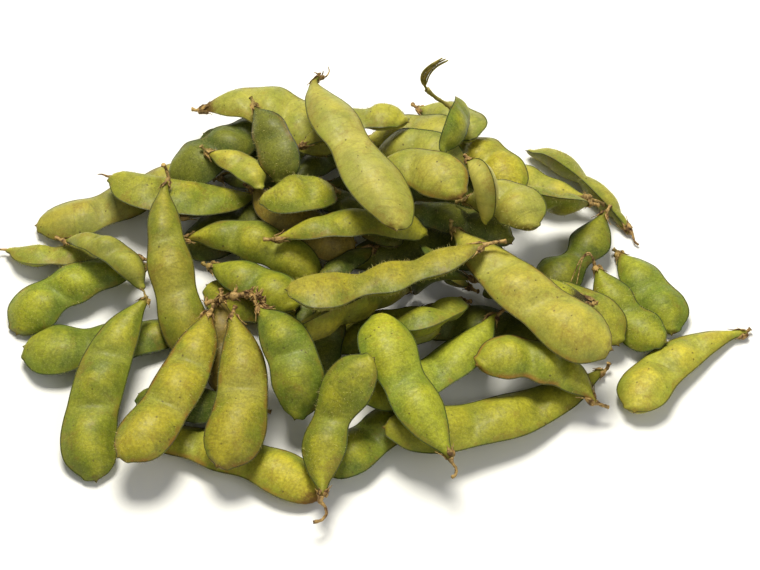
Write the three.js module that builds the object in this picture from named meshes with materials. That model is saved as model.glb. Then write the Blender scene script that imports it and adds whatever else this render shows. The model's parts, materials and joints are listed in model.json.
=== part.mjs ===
// A heap of fresh edamame pods on a table, in millimetres, +Z up.
// Each pod is lofted from a few driving sizes, then let down onto the heap in turn, so that it rests
// on the table or on the pods that are already there. Three pods at the front hang on one twig.
import * as THREE from "three";

// Driving dimensions of a pod.
const POD_WIDTH = 14.6; // suture to suture, over a bean
const POD_THICKNESS = 8.8; // through the pod, over a bean
const SEAM_PROUD = 0.35; // how far the two sutures stand out of the oval section
const BEAK_LENGTH = 1.6; // point past the round end
const STALK_LENGTH = 4;
const STALK_RADIUS = 0.95;
const STALK_DOME = 0.3; // how far the cut end of the stalk bulges
const COLLAR_RADIUS = 1.05; // where the stalk meets the calyx
const CALYX_WIDTH = 0.2; // the stem end, as a share of the pod's width
const CALYX_THICKNESS = 0.3; // the same, as a share of its thickness
const WAIST_THICKNESS = 0.6; // between two beans, as a share of the thickness over a bean
const SIDES = 10; // corners of a pod's section; the two sutures are corners 0 and 5

// The beans of a pod: where their centres lie, from the calyx at 0 to the round end at 1.
const BEAN_CENTRES = {
  1: [0.56],
  2: [0.29, 0.75],
  3: [0.2, 0.49, 0.79],
};
// Where a pod's sections are, on the same scale: over the beans, at the waists, and close at the ends.
const STATIONS = {
  1: [0, 0.08, 0.17, 0.29, 0.42, 0.56, 0.72, 0.86, 0.955],
  2: [0, 0.06, 0.14, 0.29, 0.4, 0.52, 0.63, 0.75, 0.88, 0.96],
  3: [0, 0.055, 0.12, 0.2, 0.345, 0.49, 0.64, 0.79, 0.9, 0.965],
};

// The heap.
const CLEARANCE = 0.35; // gap left between pods that touch
const CELL = 0.6; // spacing of the height map on which pods are let down
const HALF_REACH = 150; // half the side of the height map
const PRESSED_FLAT = 0.6; // how deep a pod's underside is pressed flat by the table
// How far a pod may end up from how it was let go: pitch and roll in degrees, the rest in millimetres.
const FREEDOM = { pitch: 24, roll: 8, sag: 4, slideX: 3, slideY: 3 };

// The twig that three pods hang on.
const TWIG_RADIUS = 1.2;
const TWIG_PAST = 1.5; // how far it runs on past the first and the last pod
const TWIG_STEPS = 14;
const TWIG_SIDES = 8;
const TWIG_PODS = ["pod_trio_left", "pod_trio_middle", "pod_trio_right"];

const COLOURS = { ripe: 0xa8aa44, fresh: 0x8a9c38, green: 0x6f9130, dark: 0x526a24, tan: 0x958a45 };
const TWIG_COLOUR = 0x7d6338;

// A pod, where its row below doesn't say otherwise. length: from the calyx to the round end. bend: how
// far its middle bows out to its left. waist: how much narrower it is between beans. plump: the size of
// its sections. neck: how far it takes to fill out from the calyx, as a share of its length. roll: 0
// lies on its broad side, 90 stands on a suture. pitch: how far its round end is raised.
const POD = {
  tone: "fresh",
  beans: 3,
  length: 58,
  bend: 3,
  waist: 0.12,
  plump: 1,
  neck: 0.16,
  roll: 0,
  pitch: 0,
};

// The pods, from the table up. x and y: where a pod's middle is let go. heading: where its round end
// points, in degrees from +X.
const PODS = [
  // on the table, round the edge
  { name: "pod_left_back_long", x: -83, y: 34, heading: -148, length: 53, bend: 6, tone: "ripe" },
  {
    name: "pod_left_point", x: -95, y: 9, heading: 179, length: 40, bend: 1, plump: 0.88,
    neck: 0.3, tone: "ripe",
  },
  { name: "pod_left_round", x: -94, y: -5, heading: -152, length: 42, bend: -3, tone: "green" },
  { name: "pod_left_cross", x: -81, y: -22, heading: -168, length: 50, bend: 3, tone: "green" },
  {
    name: "pod_front_left_under", x: -46, y: -66, heading: -20, length: 60, bend: 3,
    plump: 0.96, tone: "ripe",
  },
  { name: "pod_front_left_hidden", x: -56, y: -48, heading: 176, length: 34, plump: 0.9, tone: "dark" },
  { name: "pod_front_middle_under", x: -4, y: -56, heading: -136, length: 36, beans: 2, tone: "green" },
  { name: "pod_front_right_long", x: 34, y: -47, heading: -157, length: 69, bend: 6 },
  {
    name: "pod_right_outlier", x: 92, y: -34, heading: -142, length: 45, bend: -4,
    plump: 0.88, neck: 0.3, tone: "ripe",
  },
  {
    name: "pod_right_back_twin", x: 63, y: 36, heading: 132, length: 42, beans: 2, bend: -2,
    waist: 0.35, plump: 0.95,
  },
  {
    name: "pod_right_broad", x: 82, y: -4, heading: -61, length: 32, beans: 2, bend: 0,
    plump: 0.9, tone: "green",
  },
  { name: "pod_right_twin", x: 59, y: 9, heading: -129, length: 33, beans: 2, waist: 0.3, tone: "green" },
  // on the table, in the shade of the heap
  { name: "pod_base_back_left", x: -32, y: 52, heading: 172, length: 48, tone: "dark" },
  { name: "pod_left_shadow", x: -40, y: 22, heading: -155, length: 44, tone: "dark" },
  { name: "pod_base_middle", x: 6, y: 32, heading: -6, length: 50, tone: "dark" },
  { name: "pod_base_heart", x: 12, y: 8, heading: 4, length: 50, tone: "dark" },
  { name: "pod_base_front", x: -28, y: -10, heading: 168, length: 50 },
  { name: "pod_base_front_right", x: 30, y: -22, heading: -12, length: 50, tone: "dark" },
  // second layer
  { name: "pod_back_left_dark", x: -51, y: 48, heading: -142, length: 38, tone: "dark" },
  { name: "pod_back_right_long", x: 46, y: 39, heading: 149, length: 44, tone: "ripe" },
  { name: "pod_back_right_fold", x: 32, y: 39, heading: -47, length: 36, tone: "ripe" },
  { name: "pod_right_seam", x: 49, y: 25, heading: -172, length: 26, beans: 2, roll: 35 },
  { name: "pod_left_edge_on", x: -81, y: -1, heading: -37, length: 31, roll: 60, plump: 0.85 },
  {
    name: "pod_right_slim", x: 78, y: -10, heading: -56, length: 31, beans: 2, bend: -2,
    roll: 40, plump: 0.85, tone: "green",
  },
  { name: "pod_under_stub", x: 56, y: -17, heading: -27, length: 34, beans: 2 },
  {
    name: "pod_right_dark_tip", x: 50, y: -7, heading: 152, length: 34, beans: 2, plump: 0.9,
    tone: "green",
  },
  { name: "pod_middle_dark", x: -12, y: 17, heading: -40, length: 38, plump: 0.9, tone: "dark" },
  { name: "pod_heart_dark", x: 18, y: 10, heading: -8, length: 38, plump: 0.9, tone: "dark" },
  { name: "pod_front_thin_tail", x: -1, y: -22, heading: 8, length: 32, plump: 0.85 },
  {
    name: "pod_front_right_round", x: 17, y: -35, heading: -143, length: 48, beans: 2,
    bend: 5, tone: "green",
  },
  { name: "pod_front_right_stub", x: 43, y: -43, heading: 163, length: 34, bend: -4 },
  {
    name: "pod_back_right_patch", x: 24, y: 50, heading: -52, length: 28, beans: 2,
    plump: 0.85, tone: "green",
  },
  { name: "pod_back_green_twin", x: 12, y: 47, heading: -22, length: 30, beans: 2 },
  // third layer
  { name: "pod_left_smile", x: -62, y: 33, heading: 180, length: 45, bend: 5 },
  { name: "pod_middle_tan", x: -24, y: 18, heading: -32, length: 35, bend: -3, tone: "tan" },
  { name: "pod_middle_ridge", x: -36, y: 6, heading: -20, length: 42, bend: 4, roll: 40 },
  { name: "pod_front_seam", x: -5, y: -19, heading: -141, length: 46, roll: 30, tone: "ripe" },
  { name: "pod_front_stub", x: 17, y: -23, heading: -140, length: 26, beans: 2 },
  { name: "pod_right_shoulder", x: 38, y: 9, heading: -35, length: 24, beans: 2 },
  {
    name: "pod_back_blush", x: 13, y: 36, heading: -26, length: 32, beans: 2, roll: 20,
    plump: 0.9, tone: "green",
  },
  { name: "pod_crown_left", x: -36, y: 47, heading: -26, length: 44, bend: 5, tone: "ripe" },
  { name: "pod_back_point", x: -8, y: 41, heading: 14, length: 32, plump: 0.9 },
  // fourth layer
  { name: "pod_left_upright", x: -62, y: -1, heading: -80, length: 58, bend: -1, tone: "ripe" },
  {
    name: "pod_left_little", x: -43, y: 30, heading: -40, length: 22, beans: 2, roll: 60,
    plump: 0.8, tone: "ripe",
  },
  { name: "pod_middle_narrow", x: -9, y: 6, heading: 5, length: 44, roll: 20, plump: 0.85 },
  {
    name: "pod_trio_left", x: -64, y: -46, heading: -113, length: 54,
    plump: 1.08, pitch: -8, tone: "ripe", freedom: { pitch: 8 },
  },
  {
    name: "pod_trio_middle", x: -47, y: -45, heading: -91, length: 48, beans: 2, bend: 4,
    plump: 1.12, neck: 0.24, pitch: -8, tone: "ripe", freedom: { pitch: 8 },
  },
  { name: "pod_trio_right", x: -26, y: -37, heading: -68, length: 34, beans: 2, tone: "green" },
  {
    name: "pod_right_big", x: 47, y: -13, heading: -47, length: 62, bend: -3,
    plump: 1.12, pitch: -8, tone: "ripe", freedom: { pitch: 12 },
  },
  {
    name: "pod_back_tall_stalk", x: 19, y: 38, heading: -96, length: 26, beans: 2, roll: 60,
    plump: 0.8, tone: "green",
  },
  // on top
  {
    name: "pod_crown_dark", x: -34, y: 36, heading: -70, length: 28, beans: 2, roll: 60,
    plump: 0.85, tone: "dark",
  },
  { name: "pod_crown_small", x: -27, y: 24, heading: -150, length: 24, beans: 2, roll: 30, plump: 0.9 },
  { name: "pod_crown_right", x: 12, y: 23, heading: -30, length: 36, beans: 2, tone: "ripe" },
  { name: "pod_right_curl", x: 27, y: 10, heading: -72, length: 18, beans: 1, roll: 70, plump: 0.8 },
  {
    name: "pod_crown_standing", x: -3, y: 30, heading: -66, length: 59, beans: 2, waist: 0.2,
    plump: 1.1, tone: "ripe",
  },
  { name: "pod_middle_long", x: 4, y: -15, heading: -162, length: 58, bend: 1, plump: 0.94, tone: "ripe" },
  {
    name: "pod_front_pointing", x: 7, y: -46, heading: 116, length: 48, beans: 2, bend: 2,
    waist: 0.2, plump: 1.05, tone: "green",
  },
  {
    name: "pod_front_twisted", x: -9, y: -59, heading: 70, length: 40, beans: 2, bend: 5,
    waist: 0.3, plump: 0.95,
  },
  {
    name: "pod_front_left_upright", x: -78, y: -41, heading: -105, length: 57, bend: -4, plump: 1.06,
    freedom: { slideX: 1 },
  },
];

const wave = (t) => 0.5 - 0.5 * Math.cos(Math.PI * t);

// 1 over a bean, 0 midway between two beans.
function beanSwell(s, centres) {
  if (s <= centres[0] || s >= centres[centres.length - 1]) return 1;
  const next = centres.findIndex((c) => c > s);
  const t = (s - centres[next - 1]) / (centres[next] - centres[next - 1]);
  return 1 - wave(t < 0.5 ? 2 * t : 2 - 2 * t);
}

// How a pod fills out from its calyx, and rounds off past its last bean.
const fillOut = (s, start, reach, power) =>
  start + (1 - start) * (1 - Math.exp(-Math.pow(s / reach, power)));
const roundOff = (s, last, power) =>
  s <= last ? 1 : Math.sqrt(Math.max(0, 1 - Math.pow((s - last) / (1 - last), power)));

// The sections of a pod: centre, half width and half thickness, from the end of its stalk to its beak.
function podSections(pod) {
  const centres = BEAN_CENTRES[pod.beans];
  const last = centres[centres.length - 1];
  const halfWidth = (POD_WIDTH / 2) * pod.plump;
  const halfThick = (POD_THICKNESS / 2) * pod.plump;
  const body = STATIONS[pod.beans].map((s) => {
    const swell = beanSwell(s, centres);
    const round = roundOff(s, last, 2.3);
    const waist = 1 - pod.waist * (1 - swell);
    const flat = WAIST_THICKNESS + (1 - WAIST_THICKNESS) * swell;
    const bow = pod.bend * (1 - Math.pow(2 * s - 1, 2));
    return {
      along: (s - 0.5) * pod.length,
      // the convex side comes round to the beak, which is in line with the concave side
      aside: bow - Math.sign(pod.bend || 1) * (1 - round) * halfWidth * 0.7,
      wide: halfWidth * fillOut(s, CALYX_WIDTH, pod.neck, 1.25) * round * waist,
      thick: halfThick * fillOut(s, CALYX_THICKNESS, pod.neck, 1.3) * roundOff(s, last, 2) * flat,
    };
  });
  const calyx = -pod.length / 2;
  const collar = { along: calyx - STALK_LENGTH / 3, aside: 0, wide: COLLAR_RADIUS, thick: COLLAR_RADIUS };
  const cut = { along: calyx - STALK_LENGTH, aside: 0, wide: STALK_RADIUS, thick: STALK_RADIUS };
  return [cut, collar, ...body];
}

// A closed skin over a pod's sections, with one corner at the cut of the stalk and one at the beak.
// The pod lies along X, its sutures at the sides.
function podSkin(pod) {
  const sections = podSections(pod);
  const count = sections.length;
  const corners = [];
  sections.forEach((section, i) => {
    const before = sections[Math.max(0, i - 1)];
    const after = sections[Math.min(count - 1, i + 1)];
    const lean = Math.atan2(after.aside - before.aside, after.along - before.along);
    const proud = Math.max(0, Math.min(SEAM_PROUD, (section.wide - 2 * COLLAR_RADIUS) / 8));
    for (let k = 0; k < SIDES; k++) {
      const angle = (2 * Math.PI * k) / SIDES;
      const reach = section.wide + (k % (SIDES / 2) ? 0 : proud);
      const across = reach * Math.cos(angle);
      corners.push(
        section.along - across * Math.sin(lean),
        section.aside + across * Math.cos(lean),
        section.thick * Math.sin(angle),
      );
    }
  });
  const beakSide = sections[count - 1].aside - Math.sign(pod.bend || 1) * 0.8;
  corners.push(sections[0].along - STALK_DOME, sections[0].aside, 0);
  corners.push(pod.length / 2 + BEAK_LENGTH, beakSide, 0);
  const stalkPole = count * SIDES;
  const beakPole = stalkPole + 1;
  const faces = [];
  for (let k = 0; k < SIDES; k++) {
    const next = (k + 1) % SIDES;
    faces.push(stalkPole, next, k);
    for (let i = 0; i + 1 < count; i++) {
      const a = i * SIDES + k;
      const b = i * SIDES + next;
      faces.push(a, b, b + SIDES, a, b + SIDES, a + SIDES);
    }
    faces.push(beakPole, (count - 1) * SIDES + k, (count - 1) * SIDES + next);
  }
  return { corners, faces };
}

// The top of the heap so far, on a square grid. The table is at 0.
class HeightMap {
  constructor() {
    this.side = Math.ceil((2 * HALF_REACH) / CELL);
    this.top = new Float32Array(this.side * this.side).fill(-CLEARANCE);
  }

  // Calls visit(cell, height) for each grid point that each face covers, seen from above.
  scan(points, faces, visit) {
    const at = (v) => (v + HALF_REACH) / CELL;
    for (let f = 0; f < faces.length; f += 3) {
      const [a, b, c] = [3 * faces[f], 3 * faces[f + 1], 3 * faces[f + 2]];
      const [ax, ay, bx, by] = [at(points[a]), at(points[a + 1]), at(points[b]), at(points[b + 1])];
      const [cx, cy] = [at(points[c]), at(points[c + 1])];
      const area = (bx - ax) * (cy - ay) - (cx - ax) * (by - ay);
      if (Math.abs(area) < 1e-9) continue;
      const [x1, y1] = [Math.floor(Math.max(ax, bx, cx)), Math.floor(Math.max(ay, by, cy))];
      for (let y = Math.ceil(Math.min(ay, by, cy)); y <= y1; y++) {
        for (let x = Math.ceil(Math.min(ax, bx, cx)); x <= x1; x++) {
          const u = ((x - ax) * (cy - ay) - (cx - ax) * (y - ay)) / area;
          const v = ((bx - ax) * (y - ay) - (x - ax) * (by - ay)) / area;
          if (u < 0 || v < 0 || u + v > 1) continue;
          const height = points[a + 2] * (1 - u - v) + points[b + 2] * u + points[c + 2] * v;
          visit(y * this.side + x, height);
        }
      }
    }
  }

  // How far a solid has to be raised to clear everything under it.
  lift(points, faces) {
    let need = -Infinity;
    for (let i = 2; i < points.length; i += 3) need = Math.max(need, -points[i]);
    this.scan(points, faces, (cell, height) => {
      need = Math.max(need, this.top[cell] + CLEARANCE - height);
    });
    return need;
  }

  // Adds a solid to the heap, one grid point wider than it is, so that sides keep clear too.
  add(points, faces) {
    const steps = [-this.side, 0, this.side].flatMap((row) => [row - 1, row, row + 1]);
    this.scan(points, faces, (cell, height) => {
      for (const step of steps) this.top[cell + step] = Math.max(this.top[cell + step], height);
    });
  }
}

// A pod's corners once it has given by lie.sag, its ends lower than its middle, along its own axes.
function sagged(pod, corners, lie) {
  const roll = THREE.MathUtils.degToRad(lie.roll);
  const points = Float32Array.from(corners);
  for (let i = 0; i < points.length; i += 3) {
    const drop = lie.sag * (Math.pow((2 * corners[i]) / pod.length, 2) - 1 / 3);
    points[i + 1] -= drop * Math.sin(roll);
    points[i + 2] -= drop * Math.cos(roll);
  }
  return points;
}

// How a pod is turned and moved from its own axes to its place: rolled, pitched, pointed, moved.
function turnOf(pod, lie, raise) {
  const radians = THREE.MathUtils.degToRad;
  return new THREE.Matrix4()
    .makeTranslation(pod.x + lie.slideX, pod.y + lie.slideY, raise)
    .multiply(new THREE.Matrix4().makeRotationZ(radians(pod.heading)))
    .multiply(new THREE.Matrix4().makeRotationY(radians(-lie.pitch)))
    .multiply(new THREE.Matrix4().makeRotationX(radians(lie.roll)));
}

function moved(points, turn) {
  const out = new Float32Array(points.length);
  const corner = new THREE.Vector3();
  for (let i = 0; i < points.length; i += 3) corner.fromArray(points, i).applyMatrix4(turn).toArray(out, i);
  return out;
}

// Lets a pod down on the heap: within its freedom, it settles where its middle is lowest.
function letDown(pod, skin, heights) {
  const freedom = { ...FREEDOM, ...pod.freedom };
  const letGo = { pitch: pod.pitch, roll: pod.roll, sag: 0, slideX: 0, slideY: 0 };
  const tryLie = (lie) => {
    const own = sagged(pod, skin.corners, lie);
    const points = moved(own, turnOf(pod, lie, 0));
    const raise = heights.lift(points, skin.faces);
    let middle = 0;
    for (let i = 2; i < points.length; i += 3) middle += (3 * points[i]) / points.length;
    return { lie, own, raise, height: raise + middle };
  };
  let best = tryLie(letGo);
  const consider = (change) => {
    const lie = { ...best.lie, ...change };
    if (Object.keys(change).some((key) => Math.abs(lie[key] - letGo[key]) > freedom[key])) return;
    const found = tryLie(lie);
    if (found.height < best.height - 1e-3) best = found;
  };
  for (const tilt of [-1, -0.67, -0.33, 0, 0.33, 0.67, 1]) {
    for (const rock of [-1, 0, 1]) {
      consider({ pitch: pod.pitch + tilt * freedom.pitch, roll: pod.roll + rock * freedom.roll });
    }
  }
  for (const share of [0.5, 0.3, 0.15, 0.08, 0.04]) {
    for (const key of Object.keys(freedom)) {
      consider({ [key]: best.lie[key] - share * freedom[key] });
      consider({ [key]: best.lie[key] + share * freedom[key] });
    }
  }
  const turn = turnOf(pod, best.lie, best.raise);
  heights.add(moved(best.own, turn), skin.faces);
  return { own: best.own, turn };
}

// The same corners, with the lowest ones pressed level by the table.
function pressedFlat(own, turn) {
  const points = moved(own, turn);
  for (let i = 2; i < points.length; i += 3) if (points[i] < PRESSED_FLAT) points[i] = 0;
  return moved(points, turn.clone().invert());
}

function makePod(row, heights) {
  const pod = { ...POD, ...row };
  const skin = podSkin(pod);
  const { own, turn } = letDown(pod, skin, heights);
  const geometry = new THREE.BufferGeometry();
  geometry.setAttribute("position", new THREE.BufferAttribute(pressedFlat(own, turn), 3));
  geometry.setIndex(skin.faces);
  geometry.computeVertexNormals();
  const mesh = new THREE.Mesh(
    geometry,
    new THREE.MeshStandardMaterial({ color: COLOURS[pod.tone], roughness: 0.55, metalness: 0 }),
  );
  mesh.name = pod.name;
  turn.decompose(mesh.position, mesh.quaternion, mesh.scale);
  return mesh;
}

// A twig past the ends of three pods' stalks, just clear of them.
function makeTwig(pods) {
  const ends = pods.map((pod) => {
    pod.updateMatrixWorld();
    const away = new THREE.Vector3(-1, 0, 0).transformDirection(pod.matrixWorld);
    const points = pod.geometry.getAttribute("position");
    const stalkPole = new THREE.Vector3().fromBufferAttribute(points, points.count - 2);
    return stalkPole.applyMatrix4(pod.matrixWorld).addScaledVector(away, TWIG_RADIUS + CLEARANCE);
  });
  const [first, , last] = ends;
  const along = last.clone().sub(first).normalize();
  const path = new THREE.CatmullRomCurve3([
    first.clone().addScaledVector(along, -TWIG_PAST),
    ...ends,
    last.clone().addScaledVector(along, TWIG_PAST),
  ]);
  const section = new THREE.Shape().absarc(0, 0, TWIG_RADIUS, 0, 2 * Math.PI);
  const geometry = new THREE.ExtrudeGeometry(section, {
    steps: TWIG_STEPS,
    curveSegments: TWIG_SIDES,
    extrudePath: path,
  });
  const bark = new THREE.MeshStandardMaterial({ color: TWIG_COLOUR, roughness: 0.85, metalness: 0 });
  const mesh = new THREE.Mesh(geometry, bark);
  mesh.name = "trio_twig";
  return mesh;
}

const heap = new THREE.Group();
const heights = new HeightMap();
for (const row of PODS) heap.add(makePod(row, heights));
heap.add(makeTwig(TWIG_PODS.map((name) => heap.getObjectByName(name))));

// The origin is on the table, under the middle of the heap.
const middle = new THREE.Box3().setFromObject(heap, true).getCenter(new THREE.Vector3());
for (const piece of heap.children) {
  piece.position.x -= middle.x;
  piece.position.y -= middle.y;
}

export default heap;
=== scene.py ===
"""A heap of fresh edamame pods on a pale table: skins, calyxes, stalks, twig and down."""

import json
import math
import random

import bpy
import numpy as np
from mathutils import Euler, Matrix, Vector


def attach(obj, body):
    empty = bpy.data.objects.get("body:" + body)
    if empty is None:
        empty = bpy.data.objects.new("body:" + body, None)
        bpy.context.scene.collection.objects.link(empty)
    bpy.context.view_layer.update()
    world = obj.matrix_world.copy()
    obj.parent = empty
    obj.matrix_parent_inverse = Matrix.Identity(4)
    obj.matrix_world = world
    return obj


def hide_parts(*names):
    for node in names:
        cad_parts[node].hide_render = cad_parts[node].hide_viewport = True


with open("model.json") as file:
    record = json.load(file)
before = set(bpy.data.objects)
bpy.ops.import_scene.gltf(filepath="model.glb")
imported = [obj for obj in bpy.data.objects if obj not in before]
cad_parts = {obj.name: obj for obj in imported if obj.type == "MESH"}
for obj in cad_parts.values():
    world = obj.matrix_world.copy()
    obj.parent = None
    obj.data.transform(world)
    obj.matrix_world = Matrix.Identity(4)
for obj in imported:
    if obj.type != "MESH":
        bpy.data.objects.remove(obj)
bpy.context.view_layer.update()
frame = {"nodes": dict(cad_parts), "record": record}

MM = 0.001
WHOLE_TURN = 6.28

# Camera, in metres.
CAMERA_AIM = Vector((0.0016, 0.0088, 0.0))
CAMERA_ELEVATION = math.radians(54)
CAMERA_DISTANCE = 0.75
CAMERA_LENS = 115.5

# Table and light: places and sizes in metres, brightness in watts.
TABLE_SIZE = 4.0
LAMPS_AIM = (0, 0, 0.02)
KEY_LAMP = {"place": (-0.08, 0.42, 1.0), "size": 0.5, "watts": 16.5, "tint": (1.0, 0.965, 0.85)}
FILL_LAMP = {"place": (0.55, -0.6, 0.7), "size": 0.8, "watts": 2.4, "tint": (1.0, 1.0, 1.0)}
ROOM_LIGHT = 0.26

# How a solid's sections are laid out: corners round one, the first that the skin covers, how much
# thinner a pod is in its waists, and how far out the two corners beside its broad side lie.
SECTION_CORNERS = 10
FIRST_SKIN_RING = 1
WAIST_THICKNESS = 0.6
BROAD_SIDE = math.sin(math.radians(72))
TWIG_SLICES = 8
FRONT = np.array((0.35, -1.0, 0.0))

# The fine skin, in metres.
SKIN_STEP = 0.75 * MM
BEAK_STEP = 0.3 * MM
BEAK_HALF_WIDTH = 0.7 * MM
BEAK_HALF_DEPTH = 0.5 * MM
DOME_REACH = 0.66
DOME_ROUND = 1.8
SEAM_RIDGE = 0.26 * MM
SEAM_RIDGE_TURN = 5.5
SEAM_STRIP = 3.0 * MM
RIDGE_FADES = (1.5 * MM, 4 * MM)
SKIN_UNEVEN = 0.18 * MM
UNEVEN_FULL_AT = 6 * MM
WAVE_LENGTHS_MM = (9.0, 5.0, 2.8)
WAVES_OF_A_LENGTH = 3
WAVE_LENGTH_FOR_HEIGHT = 40
PROFILE_SOFT = 1.3 * MM
TABLE_GAP = 0.02 * MM
# Angles round a quarter of a section, from the suture to the middle of the broad side.
QUARTER_TURN = [0, 3.5, 8, 14, 22, 32, 43, 55, 67, 79]
# How far a bean pushes the wall out beyond the flat pod, and how flat the pod's edges are.
BEAN_SHARE = 0.60
EDGE_SHARPNESS = 1.45
BEAN_CREASE = 0.78
BEAN_FADES_TO_SEAM = 2.6
# How the lighter bean colour, partly painted highlight on the crests, fades towards the sutures.
BEAN_COLOUR_FADES = 0.8
# A section's girth for its half width, so that the skin's pattern keeps its size all along.
GIRTH_FOR_REACH = 2.6
LEAST_REACH = 2 * MM
# The slender neck below the calyx and the slimmer shoulder before the beak: share taken off, reach.
NECK_SLIM = 0.26
NECK_REACH = 0.42
SHOULDER_REACH = 0.36

# A pod that has no habit of its own is like this. Pairs are the limits of a random value.
USUAL_SHOULDER = -0.08
USUAL_PINCH = 0.05
USUAL_GIRTH = 1.03
NECK_SPREAD = (0.7, 1.2)
BEAN_SIZE_SPREAD = (0.8, 1.0)
TWIST_SPREAD = (-6, 8)
BEAN_SLANT_SPREAD = (-0.45, 0.45)
SHADE_SPREAD = (0.94, 1.05)
RIPE_SPREAD = (-0.25, 0.25)
DRY_STEM_SPREAD = (0.05, 0.2)
DRY_BEAK_SPREAD = (0.0, 0.15)
EDGE_SPREAD = (0.0, 0.2)
FRESH_CHOICES = (0.0, 0.1, 0.35)
NO_STEP = (0, 0, 0)

# Stalks, sepals and styles, in metres; their unevenness and lengths in mm.
STALK_RADIUS = 0.72 * MM
STALK_CUT_RADIUS = 0.95 * MM
STALK_FOOT = 1.35
STALK_SLIM = 0.72
STALK_FOOT_REACH = 0.35
STALK_CUT_SWELLS = (0.75, 0.95)
STALK_SIDES = 9
STALK_LENGTH_SPREAD = (2.6, 3.8)
STALK_ROUGH_SPREAD = (0.9, 1.12)
STALK_UNEVEN_MM = 0.06
SEPALS = 5
SEPAL_STEPS = 7
SEPAL_WIDTH = 0.95 * MM
SEPAL_THICKNESS = 0.16 * MM
SEPAL_LENGTH_SPREAD = (2.2, 4.2)
SEPAL_LIFT_SPREAD = (0.15, 1.1)
SEPAL_GAP_MM = 0.12
SEPAL_TIP = 0.08 * MM
STRAND_RADIUS = 0.26 * MM
STRAND_UNEVEN_MM = 0.05
STRAND_SIDES = 6
STRIP_THREADS = 5
STRIP_STEPS = 30
STRIP_SPREAD = 0.5 * MM
STRIP_RADIUS = 0.42 * MM
STYLE_RADIUS = 0.5 * MM
STYLE_STEPS = 16
STYLE_SIDES = 7
# A thin leaf's outline across: share of its half width, share of its thickness.
LEAF_OUTLINE = ((1, 0), (0.5, 0.8), (-0.5, 0.8), (-1, 0), (-0.5, -0.4), (0.5, -0.4))

# The twig, in mm: steps of its two arms out from the ends of its solid, and its knots and scales.
TWIG_LEFT_ARM = [(-2.6, -0.4, -0.9), (-1.2, 0.0, -0.2)]
TWIG_RIGHT_ARM = [(-1.5, 0.2, 0), (0.8, -0.8, 0.3), (2.4, -3.0, 0), (3.2, -5.6, -0.8)]
TWIG_BOW = (0, 1.2, 1.2)
TWIG_STEPS = 44
TWIG_UNEVEN_MM = 0.10
TWIG_KNOTS = 6
TWIG_ENDS = [0.02, 0.98]
TWIG_ROUGH_SPREAD = (0.9, 1.1)
TWIG_THINNEST = 0.78
TWIG_LIMIT = 1.5 * MM
TWIG_SIDES = 12
TWIG_FRESH = 0.05
KNOT_REACH = 0.035
KNOT_SWELL = 0.5
SCALES_ON_A_KNOT = 4
SCALE_STEPS = 6
SCALE_LENGTH_SPREAD = (1.4, 3.4)

# Down, in metres. No hair grows nearer the table than HAIR_CLEAR.
HAIR_LENGTH = 1.1 * MM
HAIR_CLEAR = 1.6 * HAIR_LENGTH
HAIR_RADIUS = 0.042 * MM
HAIR_LEAN = 0.6
HAIRS_PER_SQUARE_MM = 0.42
HAIR_SIZE_SPREAD = (0.5, 1.3)

# The noises in the materials: scale (per metre), detail, roughness.
NOISES = {
    "clouds": (85.0, 4.0, 0.6),
    "patches": (42.0, 3.0, 0.55),
    "grain": (1100.0, 5.0, 0.75),
    "smudges": (210.0, 4.0, 0.65),
    "vein wander": (260.0, 2.0, 0.5),
    "faint veins": (300.0, 2.0, 0.5),
    "speck edge": (3200.0, 2.0, 0.6),
    "rubbed": (130.0, 5.0, 0.68),
    "rubbed finely": (1500.0, 4.0, 0.7),
    "dry edge": (520.0, 5.0, 0.72),
    "bark blotches": (500.0, 4.0, 0.6),
    "bark fibres": (2600.0, 3.0, 0.6),
    "bloom": (150.0, 4.0, 0.65),
    "seam edge": (1400.0, 3.0, 0.7),
    "wear": (170.0, 4.0, 0.7),
    "fuzz": (2300.0, 2.0, 0.6),
    "gloss": (700.0, 3.0, 0.55),
    "pores": (1900.0, 3.0, 0.6),
    "dents": (300.0, 3.0, 0.5),
    "hair tone": (60.0, 2.0, 0.55),
    "table tone": (6.0, 2.0, 0.55),
}

# How strongly each mark shows on a pod's skin, from 0 to 1.
CLOUDINESS = 2.8
PATCH_SHOWS = 0.6
# The fold mark is a painted highlight: a paler band in each waist.
FOLD_HIGHLIGHT_SHOWS = 0.35
VEIN_SHOWS = 0.22
RIM_SHOWS = 0.55
STAIN_SHOWS = 0.55
SEAM_SHOWS = 0.85
SPECK_SHOWS = 0.7
# The fuzz speckles are partly the pale down and partly painted highlight glinting on it.
FUZZ_AND_GLINT_SHOWS = 0.15
DRY_SHOWS = 0.92
DRY_REACH = 0.13

SEED = 11
FIRST_SPARE = 100


# ---------------------------------------------------------------- small helpers


def smoothstep(low, high, value):
    t = np.clip((value - low) / (high - low), 0.0, 1.0)
    return t * t * (3 - 2 * t)


def unit(vector):
    return vector / max(np.linalg.norm(vector), 1e-12)


def across_of(direction):
    """Two unit vectors square to a direction."""
    helper = np.array((0.0, 0.0, 1.0)) if abs(direction[2]) < 0.9 else np.array((1.0, 0.0, 0.0))
    side = unit(np.cross(helper, direction))
    return side, np.cross(direction, side)


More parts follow.
